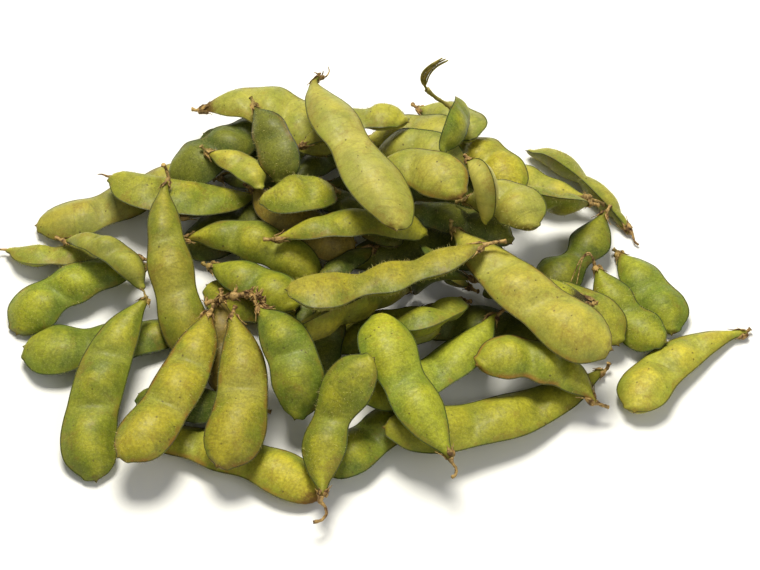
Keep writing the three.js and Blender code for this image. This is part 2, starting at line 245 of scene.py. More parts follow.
def through(knots, values, at):
    """A smooth curve through values at knots, read at places at (Hermite, slopes from neighbours)."""
    values = np.asarray(values, float)
    slopes = np.empty_like(values)
    slopes[1:-1] = (values[2:] - values[:-2]) / (knots[2:] - knots[:-2])[:, None]
    slopes[0] = (values[1] - values[0]) / (knots[1] - knots[0])
    slopes[-1] = (values[-1] - values[-2]) / (knots[-1] - knots[-2])
    i = np.clip(np.searchsorted(knots, at, side="right") - 1, 0, len(knots) - 2)
    span = (knots[i + 1] - knots[i])[:, None]
    t = ((at - knots[i])[:, None]) / span
    start = (1 + 2 * t) * (1 - t) ** 2 * values[i] + t * (1 - t) ** 2 * span * slopes[i]
    end = t * t * (3 - 2 * t) * values[i + 1] + t * t * (t - 1) * span * slopes[i + 1]
    return start + end


def lengths_along(points):
    """How far each point lies along a line, from its first."""
    return np.concatenate([[0], np.cumsum(np.linalg.norm(np.diff(points, axis=0), axis=1))])


def steps_from(start, steps):
    """Points that lie so many mm (x, y, z) from a start."""
    return [start + np.array(step) * MM for step in steps]


def uneven(rng, count, by):
    """Small random offsets for points, up to so many mm each way."""
    return np.array([[rng.uniform(-1, 1) for _ in range(3)] for _ in range(count)]) * by * MM


def stand(name, data):
    """A mesh, lamp or camera as an object of the scene, at the origin."""
    piece = bpy.data.objects.new(name, data)
    bpy.context.scene.collection.objects.link(piece)
    return piece


class Shape:
    """A mesh under way: corners, faces and named values at each corner."""

    def __init__(self):
        self.corners = []
        self.faces = []
        self.values = {}

    def add(self, corners, faces, **values):
        first = len(self.corners)
        self.corners.extend(tuple(map(float, corner)) for corner in corners)
        self.faces.extend(tuple(first + k for k in face) for face in faces)
        for name, value in values.items():
            column = self.values.setdefault(name, [])
            column.extend([0.0] * (first - len(column)))
            column.extend(np.broadcast_to(value, (len(corners),)).tolist())

    def tube(self, route, radii, sides, **values):
        """A closed tube along a route, pinched shut at both ends."""
        route = np.asarray(route, float)
        radii = np.broadcast_to(radii, (len(route),))
        corners = [route[0]]
        side = None
        for i, middle in enumerate(route):
            ahead = unit(route[min(i + 1, len(route) - 1)] - route[max(i - 1, 0)])
            if side is None:
                side, up = across_of(ahead)
            side = unit(side - ahead * np.dot(side, ahead))
            up = np.cross(ahead, side)
            for k in range(sides):
                angle = 2 * math.pi * k / sides
                offset = math.cos(angle) * side + math.sin(angle) * up
                corners.append(middle + radii[i] * offset)
        corners.append(route[-1])
        self.add(corners, ring_faces(len(route), sides), **values)

    def finish(self, name, material):
        mesh = bpy.data.meshes.new(name)
        corners = [(x, y, max(z, TABLE_GAP)) for x, y, z in self.corners]
        mesh.from_pydata(corners, [], self.faces)
        for title, column in self.values.items():
            column.extend([0.0] * (len(self.corners) - len(column)))
            mesh.attributes.new(title, "FLOAT", "POINT").data.foreach_set("value", column)
        mesh.polygons.foreach_set("use_smooth", [True] * len(mesh.polygons))
        mesh.materials.append(material)
        return stand(name, mesh)


def ring_faces(rings, sides):
    """Faces of a tube whose corners are a pole, the rings in turn, and a pole."""
    last = rings * sides + 1
    faces = []
    for k in range(sides):
        following = (k + 1) % sides
        faces.append((0, 1 + following, 1 + k))
        for i in range(rings - 1):
            a, b = 1 + i * sides, 1 + (i + 1) * sides
            faces.append((a + k, a + following, b + following, b + k))
        faces.append((last, 1 + (rings - 1) * sides + k, 1 + (rings - 1) * sides + following))
    return faces


# ---------------------------------------------------------------- shader groups


class Nodes:
    """Adds nodes to a tree. A value that is a socket is linked, any other is set."""

    def __init__(self, tree):
        self.tree = tree

    def add(self, kind, inputs=None, **settings):
        made = self.tree.nodes.new(kind)
        for name, value in settings.items():
            setattr(made, name, value)
        for name, value in (inputs or {}).items():
            if isinstance(value, bpy.types.NodeSocket):
                self.tree.links.new(value, made.inputs[name])
            else:
                made.inputs[name].default_value = value
        return made

    def value_of(self, attribute):
        return self.add("ShaderNodeAttribute", attribute_name=attribute).outputs["Fac"]

    def math(self, operation, a, b):
        return self.add("ShaderNodeMath", {0: a, 1: b}, operation=operation).outputs[0]

    def plus(self, a, b):
        return self.math("ADD", a, b)

    def minus(self, a, b):
        return self.math("SUBTRACT", a, b)

    def times(self, a, b):
        return self.math("MULTIPLY", a, b)

    def centred(self, noise):
        """A noise moved to lie round nought."""
        return self.minus(noise, 0.5)

    def between(self, value, low, high, to_low=0.0, to_high=1.0):
        made = self.add(
            "ShaderNodeMapRange",
            {"Value": value, "From Min": low, "From Max": high, "To Min": to_low, "To Max": to_high},
            interpolation_type="SMOOTHSTEP",
        )
        return made.outputs["Result"]

    def mix(self, amount, a, b, blend="MIX"):
        made = self.add("ShaderNodeMix", data_type="RGBA", blend_type=blend)
        for socket, value in zip((made.inputs[0], made.inputs[6], made.inputs[7]), (amount, a, b)):
            if isinstance(value, bpy.types.NodeSocket):
                self.tree.links.new(value, socket)
            else:
                socket.default_value = value
        return made.outputs[2]

    def place(self):
        return self.add("ShaderNodeTexCoord").outputs["Object"]

    def grey(self, value):
        return self.add("ShaderNodeCombineColor", {0: value, 1: value, 2: value}).outputs[0]

    def noise(self, kind, vector=None, distortion=0.0, output="Fac"):
        """One of NOISES, on the piece's own place unless a vector is given."""
        scale, detail, roughness = NOISES[kind]
        inputs = {"Scale": scale, "Detail": detail, "Roughness": roughness, "Distortion": distortion}
        inputs["Vector"] = vector or self.place()
        return self.add("ShaderNodeTexNoise", inputs).outputs[output]

    def bump(self, height, strength, distance):
        inputs = {"Height": height, "Strength": strength, "Distance": distance}
        return self.add("ShaderNodeBump", inputs).outputs["Normal"]


def shader_group(name, inputs, outputs, build):
    """A node group. inputs: name to default. outputs: names. build(nodes, sockets) gives the values."""
    tree = bpy.data.node_groups.new(name, "ShaderNodeTree")
    for title, default in inputs.items():
        kind = "NodeSocketColor" if isinstance(default, tuple) else "NodeSocketFloat"
        tree.interface.new_socket(title, in_out="INPUT", socket_type=kind).default_value = default
    for title in outputs:
        kind = "NodeSocketColor" if title.endswith("Color") else "NodeSocketFloat"
        tree.interface.new_socket(title, in_out="OUTPUT", socket_type=kind)
    nodes = Nodes(tree)
    entry = nodes.add("NodeGroupInput")
    results = build(nodes, entry.outputs)
    exit_node = nodes.add("NodeGroupOutput")
    for title, socket in zip(outputs, results):
        tree.links.new(socket, exit_node.inputs[title])
    return tree


def colour(red, green, blue):
    """A colour from 0 to 255 as screens show it, made linear."""

    def linear(v):
        v /= 255
        return v / 12.92 if v <= 0.04045 else ((v + 0.055) / 1.055) ** 2.4

    return (linear(red), linear(green), linear(blue), 1.0)


def build_flesh(nodes, inputs):
    """Pod skin over beans and waists: yellower and lighter over a bean, greener and darker in a waist,
    partly the pod's own colour and partly painted highlight on the crests and painted shade in the
    waists; a painted highlight band in each waist; cloudy throughout.
    """
    place = nodes.place()
    clouds = nodes.times(nodes.centred(nodes.noise("clouds", place)), CLOUDINESS)
    # Painted in part: the bean mask makes the crests lighter and yellower (partly painted highlight)
    # and the waists darker and greener (partly painted shade).
    ripe = nodes.plus(nodes.plus(nodes.value_of("bean"), clouds), nodes.value_of("ripe"))
    skin = nodes.mix(nodes.between(ripe, -0.1, 1.15), inputs["Waist Color"], inputs["Bean Color"])
    patches = nodes.between(nodes.noise("patches", place), 0.48, 0.68)
    skin = nodes.mix(nodes.times(patches, PATCH_SHOWS), skin, inputs["Patch Color"])
    # Painted highlight: each waist is mixed towards the paler patch colour, a light band where the fold
    # between the beans catches the light.
    fold = nodes.between(nodes.value_of("waist"), 0.35, 0.75)
    skin = nodes.mix(nodes.times(fold, FOLD_HIGHLIGHT_SHOWS), skin, inputs["Patch Color"])
    grain = nodes.between(nodes.noise("grain", place), 0.28, 0.72, 0.70, 1.18)
    smudge = nodes.between(nodes.noise("smudges", place), 0.3, 0.7, 0.84, 1.1)
    return [nodes.mix(1.0, skin, nodes.grey(nodes.times(grain, smudge)), "MULTIPLY")]


def build_veins(nodes, inputs):
    """Fine veins that run aslant from the sutures, as a mask."""
    surface = nodes.add("ShaderNodeUVMap", uv_map="skin").outputs["UV"]
    wander = nodes.noise("vein wander", surface, output="Color")
    bent = nodes.add("ShaderNodeVectorMath", {0: wander, 1: (0.0035,) * 3}, operation="MULTIPLY")
    place = nodes.add("ShaderNodeVectorMath", {0: surface, 1: bent.outputs[0]}, operation="ADD")
    slanted = {"Vector": place.outputs[0], "Scale": (1.0, 0.45, 1.0), "Rotation": (0, 0, 0.5)}
    place = nodes.add("ShaderNodeMapping", slanted).outputs[0]
    net = {"Vector": place, "Scale": inputs["Scale"]}
    cells = nodes.add("ShaderNodeTexVoronoi", net, feature="DISTANCE_TO_EDGE").outputs["Distance"]
    vein = nodes.between(cells, 0.02, 0.16, 1.0, 0.0)
    return [nodes.times(vein, nodes.between(nodes.noise("faint veins", surface), 0.35, 0.7))]


def build_freckles(nodes, inputs):
    """Small dark specks, scattered and of uneven size."""
    place = nodes.place()
    cells = nodes.add("ShaderNodeTexVoronoi", {"Vector": place, "Scale": inputs["Scale"]})
    chosen = nodes.add("ShaderNodeSeparateColor", {0: cells.outputs["Color"]}).outputs[0]
    size = nodes.between(chosen, nodes.minus(1.0, inputs["Share"]), 1.0, 0.0, 0.34)
    ragged = nodes.times(nodes.centred(nodes.noise("speck edge", place)), 0.35)
    spot = nodes.plus(nodes.minus(size, cells.outputs["Distance"]), ragged)
    return [nodes.between(spot, 0.0, 0.12)]


def build_stains(nodes, inputs):
    """Brownish rubbed places, mostly along the sutures."""
    place = nodes.place()
    patches = nodes.noise("rubbed", place, 0.5)
    near_seam = nodes.times(nodes.between(nodes.value_of("rim"), 0.0, 0.8), 0.10)
    level = nodes.plus(nodes.plus(patches, near_seam), inputs["Amount"])
    fine = nodes.between(nodes.noise("rubbed finely", place), 0.35, 0.65, 0.35, 1.0)
    return [nodes.times(nodes.between(level, 0.57, 0.74), fine)]


def build_ends(nodes, inputs):
    """How dry a pod is towards its calyx and its beak."""
    ragged = nodes.times(nodes.centred(nodes.noise("dry edge")), 0.16)
    place = nodes.plus(nodes.value_of("along"), ragged)
    stem_reach = nodes.times(nodes.value_of("dry_stem"), DRY_REACH)
    beak_reach = nodes.times(nodes.value_of("dry_beak"), DRY_REACH)
    at_stem = nodes.between(nodes.minus(place, stem_reach), -0.07, 0.05, 1.0, 0.0)
    at_beak = nodes.between(nodes.plus(place, beak_reach), 0.96, 1.06)
    return [nodes.math("MAXIMUM", at_stem, at_beak)]


def build_bark(nodes, inputs):
    """Dry plant skin, furrowed along a stalk: a light and dark mask, and a height."""
    place = nodes.place()
    blotch = nodes.noise("bark blotches", place, 0.6)
    fibre = nodes.noise("bark fibres", place, 1.2)
    height = nodes.plus(nodes.times(blotch, 0.6), nodes.times(fibre, 0.4))
    return [nodes.between(blotch, 0.35, 0.65), height]


FLESH = shader_group(
    "pod_flesh",
    {
        "Bean Color": (0.4, 0.4, 0.1, 1.0),
        "Waist Color": (0.2, 0.3, 0.05, 1.0),
        "Patch Color": (0.3, 0.3, 0.1, 1.0),
    },
    ["Color"],
    build_flesh,
)
VEINS = shader_group("pod_veins", {"Scale": 420.0}, ["Vein"], build_veins)
FRECKLES = shader_group("pod_freckles", {"Scale": 800.0, "Share": 0.1}, ["Spot"], build_freckles)
STAINS = shader_group("pod_stains", {"Amount": 0.0}, ["Stain"], build_stains)
DRY_ENDS = shader_group("pod_dry_ends", {}, ["Dry"], build_ends)
BARK = shader_group("dry_bark", {}, ["Light", "Height"], build_bark)


# ---------------------------------------------------------------- materials


def grouped(nodes, group, inputs=None):
    """A shader group placed in a material, with its own values. Gives its outputs."""
    made = nodes.add("ShaderNodeGroup", node_tree=group)
    for name, value in (inputs or {}).items():
        made.inputs[name].default_value = value
    return made.outputs


def new_material(name):
    """A new material with its nodes and its Principled surface."""
    material = bpy.data.materials.new(name)
    material.use_nodes = True
    nodes = Nodes(material.node_tree)
    return material, nodes, material.node_tree.nodes["Principled BSDF"]


def pod_skin(name, bean, waist, patch, seam, freckles, stains):
    """Satin skin of a pod, with its suture lines, veins, freckles, rubbed places and dry ends; its
    cream patches and down speckles are partly painted highlight, its shade value partly painted shade.
    """
    material, nodes, surface = new_material(name)
    link = material.node_tree.links.new
    colours = {"Bean Color": bean, "Waist Color": waist, "Patch Color": patch}
    base = grouped(nodes, FLESH, colours)["Color"]
    # Painted in part: by its pale value a pod is mixed towards cream in patches, partly its own
    # creamier tone and partly painted highlight on pods that catch the light at the top and back of the
    # heap.
    bloom = nodes.between(nodes.noise("bloom"), 0.3, 0.7, 0.6, 1.0)
    base = nodes.mix(nodes.times(nodes.value_of("pale"), bloom), base, CREAM)
    vein = grouped(nodes, VEINS)["Vein"]
    spot = grouped(nodes, FRECKLES, {"Share": freckles})["Spot"]
    stain = grouped(nodes, STAINS, {"Amount": stains})["Stain"]
    dry = grouped(nodes, DRY_ENDS)["Dry"]
    rim = nodes.value_of("rim")
    base = nodes.mix(nodes.times(vein, VEIN_SHOWS), base, seam)
    base = nodes.mix(nodes.between(rim, 0.1, 0.95, 0.0, RIM_SHOWS), base, waist)
    base = nodes.mix(nodes.times(stain, STAIN_SHOWS), base, STAIN_BROWN)
    line = nodes.plus(rim, nodes.times(nodes.noise("seam edge"), 0.10))
    ragged = nodes.between(nodes.noise("wear"), 0.4, 0.6)
    worn = nodes.times(nodes.between(line, 0.3, 0.95), ragged)
    base = nodes.mix(nodes.times(worn, nodes.value_of("edge")), base, EDGE_BROWN)
    base = nodes.mix(nodes.between(line, 0.86, 0.97, 0.0, SEAM_SHOWS), base, seam)
    base = nodes.mix(nodes.times(spot, SPECK_SHOWS), base, SPECK_BROWN)
    # Pale speckles of down away from the seams: partly the down's own pale colour, partly painted
    # highlight for light glinting on the hairs.
    fuzz = nodes.between(nodes.noise("fuzz"), 0.5, 0.72, 0.0, FUZZ_AND_GLINT_SHOWS)
    off_seam = nodes.between(rim, 0.3, 1.0, 1.0, 0.3)
    base = nodes.mix(nodes.times(fuzz, off_seam), base, FUZZ_AND_GLINT)
    # Painted light and shade in part: the pod's shade value darkens pods that lie in shadow and
    # lightens pods in the light, besides its own tone.
    base = nodes.mix(1.0, base, nodes.grey(nodes.value_of("shade")), "MULTIPLY")
    end = nodes.mix(nodes.between(nodes.value_of("dry_stem"), 0.8, 1.2), DRY_BROWN, WITHERED)
    base = nodes.mix(nodes.between(dry, 0.0, 1.0, 0.0, DRY_SHOWS), base, end)
    link(base, surface.inputs["Base Color"])
    rough = nodes.between(nodes.noise("gloss"), 0.3, 0.7, 0.44, 0.64)
    link(nodes.plus(rough, nodes.times(dry, 0.25)), surface.inputs["Roughness"])
    height = nodes.plus(nodes.times(nodes.noise("pores"), 0.34), nodes.times(nodes.noise("dents"), 0.8))
    height = nodes.minus(height, nodes.times(vein, 0.14))
    link(nodes.bump(height, 0.65, 0.3 * MM), surface.inputs["Normal"])
    for title, value in SATIN.items():
        surface.inputs[title].default_value = value
    return material


def dry_stalk(name, light, dark, green):
    """Stalks, sepals and twig: green where "fresh" is 1, dry and brown where it is 0."""
    material, nodes, surface = new_material(name)
    link = material.node_tree.links.new
    bark = grouped(nodes, BARK)
    base = nodes.mix(bark["Light"], dark, light)
    base = nodes.mix(nodes.value_of("fresh"), base, green)
    link(base, surface.inputs["Base Color"])
    link(nodes.between(bark["Light"], 0.0, 1.0, 0.85, 0.65), surface.inputs["Roughness"])
    link(nodes.bump(bark["Height"], 0.7, 0.2 * MM), surface.inputs["Normal"])
    return material


def down_hair(name):
    """Pale gold hairs, browner on some."""
    material, nodes, surface = new_material(name)
    tone = nodes.between(nodes.noise("hair tone"), 0.42, 0.62)
    base = nodes.mix(tone, HAIR_GOLD, HAIR_BROWN)
    material.node_tree.links.new(base, surface.inputs["Base Color"])
    surface.inputs["Roughness"].default_value = 0.6
    return material


def pale_table(name):
    """A plain, nearly white table, very faintly uneven in tone."""
    material, nodes, surface = new_material(name)
    tone = nodes.between(nodes.noise("table tone"), 0.3, 0.7)
    base = nodes.mix(tone, TABLE_GREY, TABLE_WHITE)
    material.node_tree.links.new(base, surface.inputs["Base Color"])
    surface.inputs["Roughness"].default_value = 0.9
    surface.inputs["Specular IOR Level"].default_value = 0.1
    return material


# How a pod's skin shines: softly, with a little light in the flesh.
SATIN = {
    "Specular IOR Level": 0.26,
    "Coat Weight": 0.02,
    "Coat Roughness": 0.3,
    "Sheen Weight": 0.05,
    "Sheen Roughness": 0.4,
    "Sheen Tint": (0.95, 1.0, 0.6, 1.0),
    "Subsurface Weight": 0.06,
    "Subsurface Radius": (0.6, 0.9, 0.2),
    "Subsurface Scale": 1.2 * MM,
}
STAIN_BROWN = colour(128, 96, 34)
SPECK_BROWN = colour(66, 52, 20)
DRY_BROWN = colour(104, 72, 30)
WITHERED = colour(40, 28, 16)
EDGE_BROWN = colour(134, 92, 36)
# Cream: partly a pod's own creamier tone, partly painted highlight.
CREAM = colour(198, 186, 104)
# Pale down speckles, partly painted highlight.
FUZZ_AND_GLINT = colour(208, 200, 120)
HAIR_GOLD = colour(205, 196, 120)
HAIR_BROWN = colour(150, 112, 48)
TABLE_GREY = (0.83, 0.83, 0.82, 1.0)
TABLE_WHITE = (0.85, 0.85, 0.84, 1.0)
# A skin's colours over a bean, in a waist, in patches and on the seam, its freckles and its stains.
# The lighter bean colour is partly painted highlight, the darker waist colour partly painted shade.
SKIN_TONES = {
    "ripe": ((174, 163, 44), (126, 134, 34), (164, 158, 60), (58, 60, 22), 0.11, 0.05),
    "fresh": ((160, 156, 38), (112, 122, 30), (144, 144, 46), (46, 54, 18), 0.08, 0.03),
    "green": ((150, 150, 32), (98, 114, 28), (130, 138, 40), (38, 52, 18), 0.07, 0.0),
    # The dark skin: partly darker green pods, partly painted shade for pods deep in the heap.
    "dark": ((112, 116, 32), (72, 88, 26), (98, 104, 34), (34, 44, 16), 0.07, 0.0),
    "tan": ((142, 122, 42), (116, 104, 34), (132, 112, 44), (54, 48, 20), 0.11, 0.04),
}
SKINS = {}
for tone, (*tints, freckles, stains) in SKIN_TONES.items():
    colours = [colour(*tint) for tint in tints]
    SKINS["pod_" + tone] = pod_skin("skin_" + tone, *colours, freckles, stains)
STALK_BROWN = dry_stalk("dry_stalk", colour(186, 152, 88), colour(78, 48, 22), colour(134, 130, 52))
DOWN = down_hair("down")


# ---------------------------------------------------------------- reading the solids


def merged(solid):
    """Corners of a solid's mesh, each once, and which are joined to which."""
    mesh = solid.data
    co = np.empty(len(mesh.vertices) * 3)
    mesh.vertices.foreach_get("co", co)
    corners, index = np.unique(np.round(co.reshape(-1, 3), 8), axis=0, return_inverse=True)
    index = index.reshape(-1)
    joined = [set() for _ in corners]
    for polygon in mesh.polygons:
        around = [int(index[v]) for v in polygon.vertices]
        for a, b in zip(around, around[1:] + around[:1]):
            joined[a].add(b)
            joined[b].add(a)
    return corners, joined


def rings_between(corners, joined, pole, sides):
    """The rings of corners of a closed tube, from one of its poles on."""
    rings = []
    seen = {pole}
    edge = set(joined[pole])
    while len(edge) == sides:
        rings.append(walk(edge, joined, corners, rings[-1] if rings else None))
        seen |= edge
        edge = {n for v in edge for n in joined[v]} - seen
    return [corners[ring] for ring in rings]


def pod_form(solid):
    """A pod's solid as its middle line, half width and half thickness at each section, and its beak."""
    corners, joined = merged(solid)
    poles = [v for v, near in enumerate(joined) if len(near) == SECTION_CORNERS]
    spread = [max(np.linalg.norm(corners[n] - corners[p]) for n in joined[p]) for p in poles]
    stalk_end, beak = [poles[k] for k in np.argsort(spread)[[0, -1]]]
    rings = rings_between(corners, joined, stalk_end, SECTION_CORNERS)
    half = SECTION_CORNERS // 2
    widest = max(rings, key=lambda ring: np.linalg.norm(ring - ring.mean(0), axis=1).max())
    across = np.linalg.norm(widest - np.roll(widest, -half, axis=0), axis=1)
    turn = int(np.argmax(across[:half]))
    rings = [np.roll(ring, -turn, axis=0) for ring in rings]
    return {
        "middle": np.array([(ring[0] + ring[half]) / 2 for ring in rings]),
        "wide": np.array([(ring[0] - ring[half]) / 2 for ring in rings]),
        "thick": np.array([(ring[2] + ring[3] - ring[7] - ring[8]) / 4 / BROAD_SIDE for ring in rings]),
        "beak": corners[beak],
    }


def set_down(form, place, turn, tilt, size):
    """A pod's form at a new size, its middle at place (mm), turned about upright, then tilted up."""
    centre = form["middle"].mean(axis=0)
    spin = Euler((0, math.radians(-tilt), math.radians(turn))).to_matrix()
    spin = np.array(spin @ Euler((0, 0, -heading(form))).to_matrix())
    place = np.array(place) * MM
    return {
        "middle": size * (form["middle"] - centre) @ spin.T + place,
        "wide": size * form["wide"] @ spin.T,
        "thick": size * form["thick"] @ spin.T,
        "beak": size * (form["beak"] - centre) @ spin.T + place,
    }


def heading(form):
    """Which way a pod's beak points, seen from above."""
    ahead = form["beak"] - form["middle"][0]
    return math.atan2(ahead[1], ahead[0])


def walk(edge, joined, corners, before):
    """The corners of one ring in order, starting beside the last ring's first one."""
    members = sorted(edge)
    ring = [members[0]]
    while len(ring) < len(members):
        onward = [n for n in joined[ring[-1]] if n in edge and n not in ring]
        ring.append(min(onward, key=lambda n: np.linalg.norm(corners[n] - corners[ring[-1]])))
    if before is None:
        return ring

    def spokes(indices):
        points = corners[indices]
        out = points - points.mean(0)
        return out / np.linalg.norm(out, axis=1)[:, None]

    target = spokes(before)
    count = len(ring)
    turns = [list(np.roll(order, -k)) for order in (ring, ring[::-1]) for k in range(count)]
    return max(turns, key=lambda order: float((spokes(order) * target).sum()))


# ---------------------------------------------------------------- pods


def bean_places(at, thick):
    """Where the beans' middles are: where the pod is thickest along its length."""
    inner = range(1, len(at) - 1)
    return [at[i] for i in inner if thick[i] >= thick[i - 1] and thick[i] > thick[i + 1]]


def swell(at, beans, crease):
    """1 over a bean, 0 in a waist. crease 0 is a wave, 1 is a fold in the waist."""
    out = np.ones_like(at)
    for a, b in zip(beans, beans[1:]):
        inside = (at > a) & (at < b)
        d = np.abs(2 * (at[inside] - a) / (b - a) - 1)
        arch = 1 - (1 - d) ** 2
        out[inside] = crease * arch + (1 - crease) * (0.5 - 0.5 * np.cos(np.pi * d))
    return out


def softened(values, at, reach):
    """Values along a pod, blurred over a reach. The two ends stay as they are."""
    apart = (at[:, None] - at[None, :]) / reach
    weight = np.exp(-(apart**2) / 2)
    weight /= weight.sum(axis=1, keepdims=True)
    blurred = weight @ values
    near_end = np.clip(np.minimum(at - at[0], at[-1] - at) / (2 * reach), 0, 1)
    near_end = near_end.reshape(-1, *([1] * (values.ndim - 1)))
    return values + (blurred - values) * near_end


def section_angles():
    """Angles round a section, closer together at the two sutures."""
    half = QUARTER_TURN + [180 - a for a in reversed(QUARTER_TURN[1:])]
    return np.radians(half + [180 + a for a in half])


def unevenness(points, seed):
    """A gentle, repeatable waviness for points, from about -1 to 1."""
    rng = np.random.default_rng(seed)
    out = np.zeros(len(points))
    for reach in WAVE_LENGTHS_MM:
        for _ in range(WAVES_OF_A_LENGTH):
            direction = unit(rng.normal(size=3)) / (reach * MM)
            wave = np.sin(points @ direction * np.pi + rng.uniform(0, WHOLE_TURN))
            out += wave * reach / WAVE_LENGTH_FOR_HEIGHT
    return out


def fitted_line(form, habit, rng):
    """A pod's fine middle line with its half widths and depths, shaped to its habit.

    Gives the line's points, widths, depths and places along it, the beans' places, the beak, and which
    way the stalk leaves.
    """
    middle = bowed(form["middle"], habit.get("bow", NO_STEP))
    middle, beak = drawn_on(middle, form["beak"], habit.get("drawn", NO_STEP))
    at = lengths_along(middle)
    beans = bean_places(at, np.linalg.norm(form["thick"], axis=1))
    flat = WAIST_THICKNESS + (1 - WAIST_THICKNESS) * swell(at, beans, 0.0)

    start = at[FIRST_SKIN_RING]
    fine = np.linspace(start, at[-1], int((at[-1] - start) / SKIN_STEP))
    centre = through(at, middle, fine)
    width = through(at, form["wide"], fine)
    depth = through(at, form["thick"] / flat[:, None], fine)
    centre, width, depth, fine = round_off(centre, width, depth, fine, beak)

    neck = habit.get("neck", NECK_SLIM * rng.uniform(*NECK_SPREAD))
    slim = slenderness(fine, neck, habit.get("shoulder", USUAL_SHOULDER))
    pinched = 1 - habit.get("pinch", USUAL_PINCH) * (1 - swell(fine, beans, 0.0))
    broadened = slim * pinched * habit.get("girth", USUAL_GIRTH)
    deepened = slim * habit.get("flat", 1.0)
    width = softened(width * broadened[:, None], fine, PROFILE_SOFT)
    depth = softened(depth * deepened[:, None], fine, PROFILE_SOFT)
    return centre, width, depth, fine, beans, beak, middle[0] - middle[1]


def lay_skin(name, form, habit, slot, seed):
    """The fine skin of one pod, fitted to its solid. Gives the piece and what its stalk needs."""
    rng = random.Random(seed)
    centre, width, depth, fine, beans, beak, stem = fitted_line(form, habit, rng)
    bean_size = [rng.uniform(*BEAN_SIZE_SPREAD) for _ in beans]
    any_twist = (rng.uniform(*TWIST_SPREAD), rng.uniform(*TWIST_SPREAD))
    width, depth = twisted(width, depth, fine, habit.get("twist", any_twist))

    angles = section_angles()
    c, s = np.cos(angles)[None, :], np.sin(angles)[None, :]
    reach = np.linalg.norm(width, axis=1)[:, None]
    slanted = fine[:, None] + rng.uniform(*BEAN_SLANT_SPREAD) * c * reach
    raised = swell(slanted, beans, BEAN_CREASE)
    nearest = np.abs(slanted[:, :, None] - np.array(beans)).argmin(axis=2)
    raised = raised * np.array(bean_size)[nearest] * (1 - np.abs(c) ** BEAN_FADES_TO_SEAM)
    side = np.sign(s) * np.abs(s) ** EDGE_SHARPNESS
    lift = side * (1 - BEAN_SHARE) + np.sign(s) * np.abs(s) * BEAN_SHARE * raised
    off_seam = np.degrees(np.arcsin(np.clip(s, -1, 1))) / SEAM_RIDGE_TURN
    ridge = SEAM_RIDGE * np.exp(-(off_seam**2)) * smoothstep(*RIDGE_FADES, reach)
    across = c * (1 + ridge / np.maximum(reach, 1e-6))
    points = centre[:, None, :] + width[:, None, :] * across[:, :, None]
    points = points + depth[:, None, :] * lift[:, :, None]
    outward = points - centre[:, None, :]
    outward /= np.maximum(np.linalg.norm(outward, axis=2), 1e-9)[:, :, None]
    wave = unevenness(points.reshape(-1, 3), seed).reshape(points.shape[:2])
    wave = wave * np.clip(reach / UNEVEN_FULL_AT, 0, 1) * SKIN_UNEVEN
    points = points + outward * wave[:, :, None]

    along = (fine - fine[0]) / (fine[-1] - fine[0])
    from_seam = distance_from_seams(points) / SEAM_STRIP
    corners = np.vstack([centre[0], points.reshape(-1, 3), beak])

    def at_corners(values):
        values = np.broadcast_to(values, points.shape[:2]).reshape(-1)
        return np.concatenate([[values[0]], values, [values[-1]]])

    shape = Shape()
    shape.add(
        corners,
        ring_faces(len(fine), len(angles)),
        along=at_corners(along[:, None]),
        rim=at_corners(1 - np.clip(from_seam, 0, 1)),
        # bean: where the lighter bean colour goes, partly painted highlight on the crests.
        bean=at_corners(raised * np.abs(s) ** BEAN_COLOUR_FADES),
        # waist: where the painted highlight band of the folds goes.
        waist=at_corners(1 - swell(slanted, beans, BEAN_CREASE)),
        # shade: partly the pod's own tone, partly painted shade and light for where it lies in the
        # heap.
        shade=habit.get("shade", 1.0) * rng.uniform(*SHADE_SPREAD),
        ripe=habit.get("ripe", 0.0) + rng.uniform(*RIPE_SPREAD),
        dry_stem=habit.get("dry_stem", rng.uniform(*DRY_STEM_SPREAD)),
        dry_beak=habit.get("dry_beak", rng.uniform(*DRY_BEAK_SPREAD)),
        edge=habit.get("edge", rng.uniform(*EDGE_SPREAD)),
        # pale: creamier skin, partly the pod's own tone and partly painted highlight.
        pale=habit.get("pale", 0.0),
    )
    piece = shape.finish(name, SKINS[slot])
    wrap_uv(piece.data, angles, fine, reach[:, 0])
    return piece, {"grid": points, "fine": fine, "stem": stem, "beak": beak, "middle": centre}


def distance_from_seams(points):
    """How far each corner lies from the nearer suture, measured round its section."""
    steps = np.linalg.norm(points - np.roll(points, -1, axis=1), axis=2)
    round_it = np.concatenate([np.zeros((len(points), 1)), np.cumsum(steps, axis=1)], axis=1)
    half = points.shape[1] // 2
    seams = [round_it[:, [0]], round_it[:, [half]], round_it[:, [-1]]]
    return np.min([np.abs(round_it[:, :-1] - seam) for seam in seams], axis=0)


def twisted(width, depth, fine, turns):
    """A pod's widths and depths turned about its middle line, by degrees at the calyx and the beak.

    A turn above nought lifts the suture that lies nearer the front of the heap.
    """
    t = ((fine - fine[0]) / (fine[-1] - fine[0]))[:, None]
    to_front = np.sign(np.mean(width, axis=0) @ FRONT) * np.sign(np.mean(depth, axis=0)[2])
    angle = np.radians(turns[0] + (turns[1] - turns[0]) * t) * to_front
    broad = np.linalg.norm(width, axis=1, keepdims=True)
    deep = np.linalg.norm(depth, axis=1, keepdims=True)
    out, up = width / broad, depth / deep
    return (
        broad * (out * np.cos(angle) + up * np.sin(angle)),
        deep * (up * np.cos(angle) - out * np.sin(angle)),
    )


def bowed(middle, bow):
    """A pod's middle line, curved so that its middle lies so many mm (x, y, z) further out."""
    t = np.linspace(0, 1, len(middle))[:, None]
    return middle + 4 * t * (1 - t) * np.array(bow) * MM


